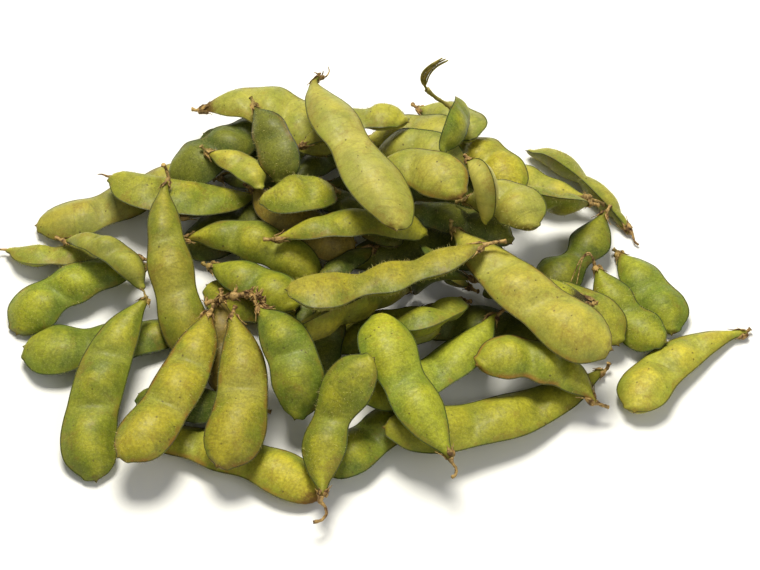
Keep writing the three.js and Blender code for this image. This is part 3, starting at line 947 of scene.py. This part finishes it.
def drawn_on(middle, beak, by):
    """A pod's middle line and beak, with the beak end so many mm (x, y, z) further on."""
    t = np.linspace(0, 1, len(middle))[:, None]
    by = np.array(by) * MM
    return middle + t**2 * by, beak + by


def slenderness(fine, neck, shoulder):
    """How much slimmer than its solid a pod is along its length, towards the calyx and the beak."""
    t = (fine - fine[0]) / (fine[-1] - fine[0])
    at_neck = neck * np.clip(1 - t / NECK_REACH, 0, 1) ** 1.2 * smoothstep(0.0, 0.06, t)
    at_shoulder = shoulder * np.clip(1 - (1 - t) / SHOULDER_REACH, 0, 1) ** 1.1
    return 1 - at_neck - at_shoulder


def round_off(centre, width, depth, fine, beak):
    """Carries the skin on past the last section: rounded in, with a small beak."""
    reach = np.linalg.norm(beak - centre[-1])
    extra = max(6, int(reach / BEAK_STEP))
    t = np.linspace(0, 1, extra + 1)[1:-1]
    broad = np.linalg.norm(width[-1])
    deep = np.linalg.norm(depth[-1])
    dome = np.sqrt(np.maximum(0, 1 - (t / DOME_REACH) ** DOME_ROUND))
    point = (1 - t) ** 0.8
    width_share = np.maximum(dome, BEAK_HALF_WIDTH / broad * point)
    depth_share = np.maximum(dome, BEAK_HALF_DEPTH / deep * point)
    return (
        np.vstack([centre, centre[-1] + (beak - centre[-1]) * t[:, None]]),
        np.vstack([width, width[-1] * width_share[:, None]]),
        np.vstack([depth, depth[-1] * depth_share[:, None]]),
        np.concatenate([fine, fine[-1] + t * reach]),
    )


def wrap_uv(mesh, angles, fine, reach):
    """A UV map in metres: along the pod, and round it from a suture."""
    layer = mesh.uv_layers.new(name="skin")
    sides = len(angles)
    loops = np.empty(len(mesh.loops), int)
    mesh.loops.foreach_get("vertex_index", loops)
    ring = np.clip((loops - 1) // sides, 0, len(fine) - 1)
    turn = angles[(loops - 1) % sides] / (2 * np.pi)
    round_it = turn * GIRTH_FOR_REACH * np.maximum(reach[ring], LEAST_REACH)
    uv = np.stack([fine[ring], round_it], axis=1)
    layer.data.foreach_set("uv", uv.reshape(-1))


# ---------------------------------------------------------------- stalks, sepals and styles


def leaf(shape, route, sides, halves, fresh):
    """A closed thin leaf along a route: sides point across it, halves are its half widths."""
    route, sides = np.asarray(route), np.asarray(sides)
    corners = [route[0]]
    for i, middle in enumerate(route):
        ahead = unit(route[min(i + 1, len(route) - 1)] - route[max(i - 1, 0)])
        side = unit(sides[i] - ahead * np.dot(sides[i], ahead))
        up = np.cross(ahead, side)
        for x, y in LEAF_OUTLINE:
            corners.append(middle + side * halves[i] * x + up * SEPAL_THICKNESS * y)
    corners.append(route[-1])
    shape.add(corners, ring_faces(len(route), len(LEAF_OUTLINE)), fresh=fresh)


def curve_through(points, steps):
    """A smooth route through a few points."""
    points = np.asarray(points, float)
    at = lengths_along(points)
    return through(at, points, np.linspace(0, at[-1], steps))


def calyx(name, habit, skin, seed):
    """The dry calyx and stalk of one pod: sepals that hug its neck, and the stalk it hung by."""
    rng = random.Random(seed)
    grid = skin["grid"]
    fresh = habit.get("fresh", rng.choice(FRESH_CHOICES))
    shape = Shape()
    base = grid[0].mean(axis=0)
    if "stalk" in habit:
        points = [base] + steps_from(base, habit["stalk"])
    else:
        straight = unit(skin["stem"]) * rng.uniform(*STALK_LENGTH_SPREAD) * MM
        bend = np.array([rng.uniform(-1, 1), rng.uniform(-1, 1), rng.uniform(0, 1)]) * 0.5 * MM
        points = [base, base + straight * 0.5, base + straight + bend]
    steps = 6 + 3 * len(points)
    route = curve_through(points, steps)
    route[:, 2] = np.maximum(route[:, 2], STALK_CUT_RADIUS * 1.2)
    t = np.linspace(0, 1, steps)
    slim = habit.get("stalk_slim", STALK_SLIM)
    radii = STALK_RADIUS * (STALK_FOOT - (STALK_FOOT - slim) * smoothstep(0, STALK_FOOT_REACH, t))
    cut = smoothstep(*STALK_CUT_SWELLS, t)
    radii += (STALK_CUT_RADIUS - STALK_RADIUS) * habit.get("knob", 1.0) * cut
    radii *= [rng.uniform(*STALK_ROUGH_SPREAD) for _ in range(steps)]
    route += uneven(rng, steps, STALK_UNEVEN_MM)
    shape.tube(route, radii, STALK_SIDES, fresh=fresh)
    for out in habit.get("strands", []):
        strand(shape, [base] + steps_from(base, out), fresh, rng)
    if "strip" in habit:
        torn_strip(shape, [points[-1]] + steps_from(base, habit["strip"]), rng)
    round_it = grid.shape[1]
    for k in range(SEPALS):
        turn = int((k + rng.uniform(-0.2, 0.2)) * round_it / SEPALS) % round_it
        length = habit.get("sepal", rng.uniform(*SEPAL_LENGTH_SPREAD))
        sepal(shape, skin, turn, length, fresh, rng)
    return shape.finish(name, STALK_BROWN)


def strand(shape, points, fresh, rng):
    """One thin dry thread, thickest at its root."""
    steps = 8 * len(points)
    route = curve_through(points, steps) + uneven(rng, steps, STRAND_UNEVEN_MM)
    route[:, 2] = np.maximum(route[:, 2], STRAND_RADIUS * 2)
    radii = STRAND_RADIUS * (1.3 - np.linspace(0, 0.8, steps))
    shape.tube(route, radii, STRAND_SIDES, fresh=fresh * 0.5)


def torn_strip(shape, points, rng):
    """A flat strip of torn stem: threads side by side that part at the end, some of them short."""
    route = curve_through(points, STRIP_STEPS)
    t = np.linspace(0, 1, STRIP_STEPS)
    _, side = across_of(unit(route[-1] - route[0]))
    for k in range(STRIP_THREADS):
        offset = (k - (STRIP_THREADS - 1) / 2) * STRIP_SPREAD
        wander = rng.uniform(-1, 1) * 0.5 * MM * t**3
        length = STRIP_STEPS - rng.choice((0, 0, 2, 7))
        depth = np.array((0.0, 0.25 * MM * rng.uniform(-1, 1), 0.0))
        bend = offset * smoothstep(0.0, 0.3, t) + wander + 0.12 * MM * np.sin(9 * t + k)
        thread = route + side * bend[:, None] + depth
        radii = STRIP_RADIUS * (0.75 + 0.35 * np.sin(7 * t + 2 * k) * t) * (1 - 0.5 * t**6)
        shape.tube(thread[:length], radii[:length], STRAND_SIDES, fresh=0.5 + 0.4 * rng.random())


def sepal(shape, skin, turn, length, fresh, rng):
    """One narrow pointed sepal that lies on the neck of a pod and lifts off towards its tip."""
    grid, fine = skin["grid"], skin["fine"]
    lifted = rng.uniform(*SEPAL_LIFT_SPREAD)
    length = length * rng.uniform(0.75, 1.15) * MM
    places = [i / (SEPAL_STEPS - 1) for i in range(SEPAL_STEPS)]
    route, across = [], []
    for t in places:
        row = int(np.searchsorted(fine - fine[0], t * length))
        corner = grid[row, turn]
        out = unit(corner - skin["middle"][row])
        neighbour = grid[row, (turn + 1) % grid.shape[1]] - grid[row, turn - 1]
        route.append(corner + out * (SEPAL_GAP_MM + lifted * t**2.5) * MM)
        across.append(unit(neighbour) + np.array([rng.uniform(-0.25, 0.25) for _ in range(3)]))
    halves = []
    for t in places:
        half = SEPAL_WIDTH * (0.75 + 0.45 * math.sin(math.pi * min(1, t * 1.6)) - 1.05 * t**2)
        halves.append(max(SEPAL_TIP, half * rng.uniform(0.85, 1.1)))
    leaf(shape, route, across, halves, fresh * 0.6)


def style(name, skin, offsets):
    """The dried style that stays on a beak, a thin curved tail."""
    beak = skin["beak"]
    root = skin["grid"][-4].mean(axis=0)
    route = curve_through([root, beak] + steps_from(beak, offsets), STYLE_STEPS)
    route[:, 2] = np.maximum(route[:, 2], STYLE_RADIUS)
    shape = Shape()
    radii = STYLE_RADIUS * (1 - 0.75 * np.linspace(0, 1, STYLE_STEPS))
    shape.tube(route, radii, STYLE_SIDES, fresh=0.0)
    return shape.finish(name, STALK_BROWN)


def twig(name, solid, seed):
    """The knobbly twig that three pods hang on: two arms with buds, scales and broken ends."""
    rng = random.Random(seed)
    corners, _ = merged(solid)
    slices = np.array_split(corners[np.argsort(corners[:, 0])], TWIG_SLICES)
    middle = np.array([part.mean(axis=0) for part in slices])
    arms = [
        (steps_from(middle[0], TWIG_LEFT_ARM) + list(bowed(middle, TWIG_BOW)), 1.0),
        (steps_from(middle[-1], TWIG_RIGHT_ARM), 0.8),
    ]
    shape = Shape()
    t = np.linspace(0, 1, TWIG_STEPS)
    for points, thick in arms:
        route = curve_through(points, TWIG_STEPS) + uneven(rng, TWIG_STEPS, TWIG_UNEVEN_MM)
        knots = [rng.uniform(0.1, 0.95) for _ in range(TWIG_KNOTS)]
        swollen = sum(np.exp(-(((t - knot) / KNOT_REACH) ** 2)) for knot in knots)
        rough = [rng.uniform(*TWIG_ROUGH_SPREAD) for _ in range(TWIG_STEPS)]
        radii = thick * MM * (TWIG_THINNEST + KNOT_SWELL * swollen) * rough
        shape.tube(route, np.minimum(radii, TWIG_LIMIT), TWIG_SIDES, fresh=TWIG_FRESH)
        for knot in knots + TWIG_ENDS:
            for _ in range(SCALES_ON_A_KNOT):
                scale_leaf(shape, route[int(knot * (TWIG_STEPS - 1))], thick * 0.9, rng)
    return shape.finish(name, STALK_BROWN)


def scale_leaf(shape, root, thick, rng):
    """A small dry scale that stands off a twig and curls."""
    side = unit(np.array([rng.uniform(-1, 1), rng.uniform(-1, 1), rng.uniform(-0.2, 1)]))
    along, _ = across_of(side)
    reach = rng.uniform(*SCALE_LENGTH_SPREAD) * MM
    route = []
    for i in range(SCALE_STEPS):
        t = i / (SCALE_STEPS - 1)
        curl = 0.5 * reach * t**2
        route.append(root + side * (thick * 0.5 * MM + reach * t * 0.8) + along * curl)
    halves = [SEPAL_WIDTH * (1 - t) ** 0.7 + 0.06 * MM for t in np.linspace(0, 1, SCALE_STEPS)]
    leaf(shape, route, [np.cross(side, along)] * SCALE_STEPS, halves, 0.0)


# ---------------------------------------------------------------- down


def down_tree():
    """Geometry Nodes that grow short pointed hairs on a mesh and leave only the hairs."""
    tree = bpy.data.node_groups.new("down_on_skin", "GeometryNodeTree")
    kinds = {
        "Skin": "Geometry",
        "Density": "Float",
        "Length": "Float",
        "Thickness": "Float",
        "Lean": "Float",
        "Seed": "Int",
        "Hair": "Material",
    }
    sockets = {}
    for title, kind in kinds.items():
        made = tree.interface.new_socket(title, in_out="INPUT", socket_type="NodeSocket" + kind)
        sockets[title] = made.identifier
    tree.interface.new_socket("Down", in_out="OUTPUT", socket_type="NodeSocketGeometry")
    nodes = Nodes(tree)
    given = nodes.add("NodeGroupInput").outputs
    spread = nodes.add(
        "GeometryNodeDistributePointsOnFaces",
        {"Mesh": given["Skin"], "Density": given["Density"], "Seed": given["Seed"]},
        distribute_method="RANDOM",
    )
    cone = nodes.add(
        "GeometryNodeMeshCone",
        {
            "Vertices": 3,
            "Side Segments": 1,
            "Fill Segments": 1,
            "Radius Top": 0.0,
            "Radius Bottom": given["Thickness"],
            "Depth": given["Length"],
        },
        fill_type="NGON",
    )
    leaning = nodes.add(
        "FunctionNodeRandomValue",
        {"Min": (-1.0, -1.0, 0.0), "Max": (1.0, 1.0, WHOLE_TURN), "Seed": given["Seed"]},
        data_type="FLOAT_VECTOR",
    )
    lean = nodes.add(
        "ShaderNodeVectorMath",
        {0: leaning.outputs["Value"], "Scale": given["Lean"]},
        operation="SCALE",
    )
    upright = nodes.add(
        "FunctionNodeRotateRotation",
        {"Rotation": spread.outputs["Rotation"], "Rotate By": lean.outputs[0]},
        rotation_space="LOCAL",
    )
    smallest, largest = HAIR_SIZE_SPREAD
    sizes = {2: smallest, 3: largest, "Seed": given["Seed"]}
    size = nodes.add("FunctionNodeRandomValue", sizes, data_type="FLOAT")
    hairs = nodes.add(
        "GeometryNodeInstanceOnPoints",
        {
            "Points": spread.outputs["Points"],
            "Instance": cone.outputs["Mesh"],
            "Rotation": upright.outputs["Rotation"],
            "Scale": size.outputs[1],
        },
    )
    real = nodes.add("GeometryNodeRealizeInstances", {"Geometry": hairs.outputs["Instances"]})
    finish = {"Geometry": real.outputs["Geometry"], "Material": given["Hair"]}
    dressed = nodes.add("GeometryNodeSetMaterial", finish)
    nodes.add("NodeGroupOutput", {"Down": dressed.outputs["Geometry"]})
    return tree, sockets


def grow_down(name, skins, seed):
    """One piece of down that covers the given skins, clear of the table."""
    bed = bpy.data.meshes.new("bed")
    corners, faces = [], []
    for skin in skins:
        first = len(corners)
        corners += [vertex.co[:] for vertex in skin.data.vertices]
        for polygon in skin.data.polygons:
            if polygon.center.z > HAIR_CLEAR:
                faces.append(tuple(first + v for v in polygon.vertices))
    bed.from_pydata(corners, [], faces)
    carrier = stand("bed", bed)
    tree, sockets = down_tree()
    modifier = carrier.modifiers.new("down", "NODES")
    modifier.node_group = tree
    wanted = {
        "Density": HAIRS_PER_SQUARE_MM / MM**2,
        "Length": HAIR_LENGTH,
        "Thickness": HAIR_RADIUS,
        "Lean": HAIR_LEAN,
        "Seed": seed,
        "Hair": DOWN,
    }
    for title, value in wanted.items():
        modifier[sockets[title]] = value
    grown = carrier.evaluated_get(bpy.context.evaluated_depsgraph_get())
    mesh = bpy.data.meshes.new_from_object(grown)
    carrier.modifiers.remove(modifier)
    bpy.data.objects.remove(carrier)
    bpy.data.meshes.remove(bed)
    mesh.name = name
    return stand(name, mesh)


# ---------------------------------------------------------------- the pods' habits

# Habits that pods share: the pale ones at the back, paler partly as painted highlight; young ones
# still flat and hidden from the light, darkened as painted shade; and a slimmer one.
PALE_POD = dict(shade=1.08, pale=0.3)
FLAT_POD = dict(girth=0.88, flat=0.65, shade=0.85)
SLIM_POD = dict(girth=0.9, flat=0.7)

# What sets single pods apart.
# Shape: girth and flat scale the width and the depth. neck and shoulder are how much slimmer the pod
# is at its calyx and before its beak, pinch in its waists; below nought is fuller. twist is in degrees
# at the calyx and at the beak. bow and drawn move its middle and its beak end, in mm.
# Look: shade scales the colour; below 1 it is partly painted shade for pods in shadow, above 1 partly
# painted light for pods in the light. ripe is more yellow, pale is creamier, partly painted highlight.
# edge is brown beside the seams, dry_stem and dry_beak are how dry the ends are.
# Dry parts: stalk, strip and each of the strands are steps in mm from the foot of the stalk, and
# style is steps from the beak. stalk_slim is a stalk's thickness, knob its thicker cut end, fresh how
# green it is, sepal the length of the sepals in mm.
HABITS = {
    "pod_left_round": dict(girth=0.94, shoulder=-0.36, shade=1.2, ripe=0.1),
    "pod_front_right_round": dict(shade=1.25, ripe=0.2),
    "pod_left_back_long": dict(shade=0.88, ripe=-0.1, pale=0.25, edge=0.5),
    "pod_front_seam": dict(twist=(42, 42), girth=0.92, flat=0.8, bow=(0, -0.6, -0.6), edge=0.0),
    "pod_back_point": dict(twist=(32, 32), pale=0.15),
    "pod_front_stub": dict(twist=(28, 28), girth=0.96, pinch=0.0, bow=(0, 0.4, 0.5), edge=0.0),
    "pod_left_edge_on": dict(twist=(66, 60), girth=0.78, shoulder=0.3, pinch=0.0, pale=0.2),
    "pod_crown_standing": dict(
        girth=1.06, neck=0.5, pinch=0.1, bow=(-9.5, -1.5, -0.5), drawn=(-2.0, -7.0, -5.0),
        shade=0.98, ripe=-0.3, pale=0.4,
        stalk=[(-0.5, 0.6, 0.4), (-0.6, 1.2, 0.8)], sepal=3.4,
        strands=[
            [(-1.2, 0.8, 1.2), (-2.0, 0.6, 2.0)],
            [(0.6, 0.8, 1.0), (0.8, 1.0, 2.2)],
            [(1.6, 0.4, 0.2), (2.6, 1.6, 1.0), (2.4, 2.4, 2.6)],
        ],
    ),
    "pod_left_upright": dict(
        girth=0.92, neck=0.4, pinch=0.03, bow=(-3.4, 0, 0),
        shade=0.82, ripe=-0.2,
        stalk=[(0.2, 1.6, 0.8), (-0.5, 3.2, 2.6), (-1.2, 3.4, 4.6)], sepal=2.6,
    ),
    "pod_left_smile": dict(
        twist=(22, 22), girth=1.16, neck=0.42, shoulder=0.2, pinch=-0.14, bow=(0.2, -1.6, -0.4),
        dry_stem=0.5,
        style=[(-1.6, 0.6, 0.2), (-3.0, 0.3, 0.6)],
    ),
    "pod_left_point": dict(
        twist=(26, 26), shoulder=0.5,
        pale=0.1,
        style=[(-1.6, -0.2, 0.2), (-3.2, -0.8, -0.2)],
    ),
    "pod_crown_left": dict(
        twist=(12, 8), girth=1.16, neck=0.24, bow=(0, 1.2, 0),
        ripe=-0.5, pale=0.2, edge=0.0, dry_stem=0.9,
    ),
    "pod_back_left_dark": dict(neck=0.3),
    "pod_middle_narrow": dict(
        twist=(38, 34), neck=0.3,
        stalk=[(-1.6, 0.0, 0.0), (-3.4, 0.2, -0.2)], sepal=4.2,
    ),
    "pod_middle_ridge": dict(
        twist=(26, 20), girth=0.88, neck=0.34, bow=(0, 0.8, 0),
        stalk=[(-1.4, 0.4, 0.2), (-2.6, 1.4, 1.0)], sepal=3.2,
    ),
    "pod_middle_long": dict(
        twist=(36, 33), girth=1.34, flat=1.12, neck=-0.05, shoulder=-0.34, pinch=0.2,
        shade=0.8, edge=0.1,
        stalk=[(1.8, 0.3, 0.3), (4.0, 0.8, 0.6), (7.2, 1.0, 0.8)], fresh=0.05, sepal=4.4,
    ),
    "pod_right_big": dict(
        girth=1.02, neck=0.36, shoulder=-0.24, pinch=-0.05,
        shade=0.98, pale=0.22, edge=0.5,
        stalk=[(-0.6, 1.0, 0.8), (-0.4, 1.8, 2.6)], sepal=3.6,
    ),
    "pod_crown_right": dict(shade=0.92, pale=0.15, edge=0.6, dry_beak=0.3),
    "pod_back_tall_stalk": dict(
        twist=(70, 70), girth=0.85, flat=0.6, neck=0.35, bow=(2.0, 0, 0),
        stalk=[(-2.6, 1.2, 1.2), (-6.2, 1.8, 4.0), (-8.6, 2.0, 7.2)], stalk_slim=0.85, fresh=0.75,
        sepal=2.4,
        strip=[(-9.6, 2.0, 10.0), (-9.0, 2.0, 14.4), (-6.6, 2.0, 18.4), (-3.2, 2.0, 21.4)],
    ),
    "pod_right_slim": dict(
        twist=(24, 24), neck=0.34, pinch=0.2,
        stalk=[(-0.4, 1.2, 1.4)], stalk_slim=0.7, knob=0.0, sepal=2.6,
        strands=[
            [
                (-0.4, 1.2, 1.4), (-2.0, 3.0, 3.4), (-4.4, 1.4, 2.4), (-6.4, -2.4, 0.6),
                (-7.6, -5.0, -0.6),
            ],
            [
                (-0.4, 1.2, 1.4), (-1.6, 2.6, 3.0), (-3.6, 1.8, 2.6), (-4.8, -1.2, 0.8),
                (-5.8, -5.6, -0.8),
            ],
            [(-0.2, 1.0, 1.2), (-1.2, 2.4, 2.6), (-2.6, 2.6, 3.2)],
        ],
    ),
    "pod_back_right_long": dict(
        girth=0.96, neck=0.45, pinch=0.12,
        shade=1.08, pale=0.2,
        stalk=[(2.2, -0.4, 0.0), (4.4, -1.4, -0.4)], fresh=0.2,
    ),
    "pod_right_broad": dict(neck=0.34, shade=1.2, dry_stem=0.7, stalk=[(-1.4, 1.0, 0.6)]),
    "pod_right_dark_tip": dict(dry_stem=1.3, stalk=[(1.4, 0.2, 0.0)]),
    "pod_right_seam": dict(twist=(38, 34), neck=0.4, shoulder=0.35, dry_stem=0.4),
    "pod_right_twin": dict(neck=0.35, shoulder=-0.05, pinch=0.28, shade=0.7),
    "pod_right_back_twin": dict(
        twist=(60, 56), flat=0.95, neck=0.35, shoulder=0.4, pinch=0.1,
        pale=0.2, edge=0.0,
        stalk=[(0.8, -1.6, 0.2), (1.2, -3.6, -0.2), (2.4, -4.8, -0.6)], stalk_slim=0.5, knob=0.0,
    ),
    "pod_front_pointing": dict(
        girth=1.02, neck=0.34, shoulder=-0.1, pinch=0.02,
        shade=1.2, ripe=0.4,
        stalk=[(0.6, -1.4, -0.6), (1.6, -2.8, -1.2), (1.4, -4.6, -1.6), (0.4, -5.4, -1.8)],
        stalk_slim=0.6, knob=0.6, sepal=3.0,
    ),
    "pod_front_twisted": dict(
        girth=1.08, neck=0.38, shoulder=-0.1, pinch=0.02,
        stalk=[
            (-0.2, -1.4, -0.8),
            (1.0, -2.4, -1.8),
            (1.6, -4.2, -2.6),
            (0.4, -6.0, -3.2),
            (-2.2, -6.6, -3.8),
        ],
        stalk_slim=0.62, knob=0.4, sepal=2.2,
    ),
    "pod_front_right_stub": dict(
        girth=1.0, neck=0.34, bow=(1.2, 1.4, 0),
        shade=1.12, ripe=0.1, edge=0.9,
        stalk=[(1.6, -0.6, -0.4), (4.0, -0.9, -1.4)], knob=0.2, sepal=4.2,
    ),
    "pod_front_right_long": dict(
        girth=1.08, neck=0.34, shoulder=-0.15, pinch=-0.06,
        shade=0.98, ripe=0.7,
        stalk=[(1.2, 0.8, 0.6), (1.8, 1.8, 2.2)], sepal=2.6,
    ),
    "pod_front_left_upright": dict(
        girth=0.94, neck=0.18, shoulder=-0.24, pinch=-0.1, bow=(-1.8, 0, 0),
        ripe=-0.1,
        stalk=[(-0.4, 1.0, 0.3), (-0.9, 2.2, 0.8), (-2.0, 2.8, 1.2)], stalk_slim=0.45, knob=0.2,
        sepal=1.8,
    ),
    "pod_trio_left": dict(
        girth=0.92, neck=0.1, shoulder=-0.28, pinch=-0.08,
        shade=0.88, ripe=0.0, edge=0.9, dry_stem=0.4,
    ),
    "pod_trio_middle": dict(
        girth=0.97, neck=0.1, shoulder=-0.24, pinch=-0.04,
        shade=0.8, edge=0.8,
    ),
    "pod_trio_right": dict(girth=1.02, neck=0.3, shoulder=0.0, pinch=-0.03),
    "pod_right_outlier": dict(
        girth=1.1, neck=0.3, shoulder=-0.32, pinch=-0.12, bow=(-0.4, 1.6, 0),
        shade=1.2, pale=0.1,
        stalk=[(0.8, 0.6, 0.2), (1.6, 1.2, 0.6)],
    ),
    "pod_left_little": dict(
        twist=(56, 56), girth=0.8, flat=0.8, neck=0.3, shoulder=0.4, pinch=0.0,
        shade=1.1, pale=0.15,
        sepal=3.4,
    ),
    "pod_front_thin_tail": dict(
        stalk=[(-2.0, -0.6, 0.3), (-4.4, -0.4, 0.9), (-6.8, 1.0, 1.6)], stalk_slim=0.5, knob=0.2,
    ),
    "pod_crown_small": dict(
        twist=(-18, -18), girth=1.12, neck=0.1, shoulder=0.3, pinch=-0.2,
        dry_beak=0.2,
    ),
    "pod_front_left_under": dict(twist=(10, 4), shade=1.08, ripe=-0.15, edge=0.7, dry_beak=0.5),
    "pod_left_cross": dict(girth=1.06, shoulder=-0.5),
    "pod_crown_dark": dict(
        twist=(-42, -42), girth=1.0, flat=0.8, neck=0.8, shoulder=-0.06, pinch=0.0,
        bow=(-0.8, 0, 0),
        shade=0.9, ripe=0.6, edge=0.5,
    ),
    "pod_left_shadow": dict(girth=1.15, bow=(-0.5, 1.6, 0), shade=0.85),
    "pod_back_right_patch": PALE_POD,
    "pod_back_green_twin": PALE_POD,
    "pod_back_blush": PALE_POD,
    "pod_right_shoulder": PALE_POD,
    "pod_right_curl": dict(shade=1.15, pale=0.55),
}
# Pods low in the heap that only fill it; most wear the dark skin and are darkened further, as painted
# shade in the heap's gaps. Name, the pod they are like, place of the middle (mm), turn and tilt
# (degrees), size, slot and habit.
SPARE_PODS = [
    ("pod_spare_green", "pod_right_broad", (-40, 3, 11), -35, 4, 0.95, "pod_green", dict(ripe=0.3)),
    ("pod_spare_centre", "pod_right_curl", (22, 2, 12.6), 174, -2, 1, "pod_dark", SLIM_POD),
    ("pod_spare_low", "pod_left_little", (23, 7, 8.2), 147, 20, 0.8, "pod_dark", {}),
    ("pod_spare_front", "pod_right_broad", (-14, -14, 7.1), -106, -18, 0.8, "pod_dark", {}),
    ("pod_spare_back", "pod_right_broad", (-40, 45, 6.5), -25, 16, 0.8, "pod_dark", FLAT_POD),
    ("pod_spare_crown", "pod_right_broad", (-18, 47, 11), 40, -14, 0.85, "pod_dark", FLAT_POD),
    ("pod_spare_trio", "pod_right_broad", (-46, -15, 8.5), -92, -18, 0.85, "pod_tan", FLAT_POD),
    ("pod_spare_knot", "pod_right_broad", (-21, -9, 9), 77, -3, 0.5, "pod_dark", FLAT_POD),
    ("pod_spare_left", "pod_right_broad", (-55, 32, 7), 24, -10, 0.5, "pod_dark", FLAT_POD),
    ("pod_spare_heart", "pod_right_broad", (-6, 12, 9.5), -140, 10, 0.65, "pod_dark", FLAT_POD),
    ("pod_spare_right", "pod_right_broad", (18, -5, 4.5), 2, 0, 0.6, "pod_tan", FLAT_POD),
]

# ---------------------------------------------------------------- table, camera and light


def lay_table():
    """A wide flat table that the heap lies on."""
    mesh = bpy.data.meshes.new("table")
    h = TABLE_SIZE / 2
    mesh.from_pydata([(-h, -h, 0), (h, -h, 0), (h, h, 0), (-h, h, 0)], [], [(0, 1, 2, 3)])
    mesh.materials.append(pale_table("pale_table"))
    stand("table", mesh)


def set_camera():
    data = bpy.data.cameras.new("camera")
    data.lens = CAMERA_LENS
    eye = stand("camera", data)
    back = Vector((0, -math.cos(CAMERA_ELEVATION), math.sin(CAMERA_ELEVATION)))
    eye.location = CAMERA_AIM + CAMERA_DISTANCE * back
    eye.rotation_euler = (math.pi / 2 - CAMERA_ELEVATION, 0, 0)
    bpy.context.scene.camera = eye


def softbox(name, lamp):
    """A round soft lamp that faces the heap."""
    data = bpy.data.lights.new(name, "AREA")
    data.shape = "DISK"
    data.size = lamp["size"]
    data.energy = lamp["watts"]
    data.color = lamp["tint"]
    box = stand(name, data)
    box.location = lamp["place"]
    facing = Vector(LAMPS_AIM) - Vector(lamp["place"])
    box.rotation_euler = facing.to_track_quat("-Z", "Y").to_euler()


def light_studio():
    world = bpy.data.worlds.new("studio")
    world.use_nodes = True
    sky = world.node_tree.nodes["Background"].inputs
    sky["Color"].default_value = (1.0, 1.0, 1.0, 1.0)
    sky["Strength"].default_value = ROOM_LIGHT
    bpy.context.scene.world = world
    softbox("key", KEY_LAMP)
    softbox("fill", FILL_LAMP)
    bpy.context.scene.view_settings.view_transform = "Standard"


set_camera()
lay_table()
light_studio()

# ---------------------------------------------------------------- the heap

SLOT_OF = {row["node"]: row["material_slot"] for row in frame["record"]["subparts"]}
SKIN_PIECES = []


def dress(name, form, habit, slot, seed):
    """Skin, calyx, stalk and style of one pod, all riding on the heap. Gives the skin."""
    short = name.replace("pod_", "")
    skin_piece, skin = lay_skin("skin_" + short, form, habit, slot, SEED + seed)
    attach(skin_piece, "root")
    SKIN_PIECES.append(skin_piece)
    dry = [calyx("calyx_" + short, habit, skin, SEED * 2 + seed)]
    if "style" in habit:
        dry.append(style("style_" + short, skin, habit["style"]))
    for piece in dry:
        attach(piece, "root")
    return skin_piece


solids = sorted(frame["nodes"].items())
forms = {name: pod_form(solid) for name, solid in solids if name != "trio_twig"}
for number, (node_name, form) in enumerate(forms.items()):
    skin_piece = dress(node_name, form, HABITS.get(node_name, {}), SLOT_OF[node_name], number)
    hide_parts(node_name)

for number, (name, like, place, turn, tilt, size, slot, habit) in enumerate(SPARE_PODS):
    form = set_down(forms[like], place, turn, tilt, size)
    dress(name, form, habit, slot, FIRST_SPARE + number)

twig_piece = twig("twig", frame["nodes"]["trio_twig"], SEED)
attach(twig_piece, "root")
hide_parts("trio_twig")

down_piece = grow_down("down", SKIN_PIECES, SEED)
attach(down_piece, "root")
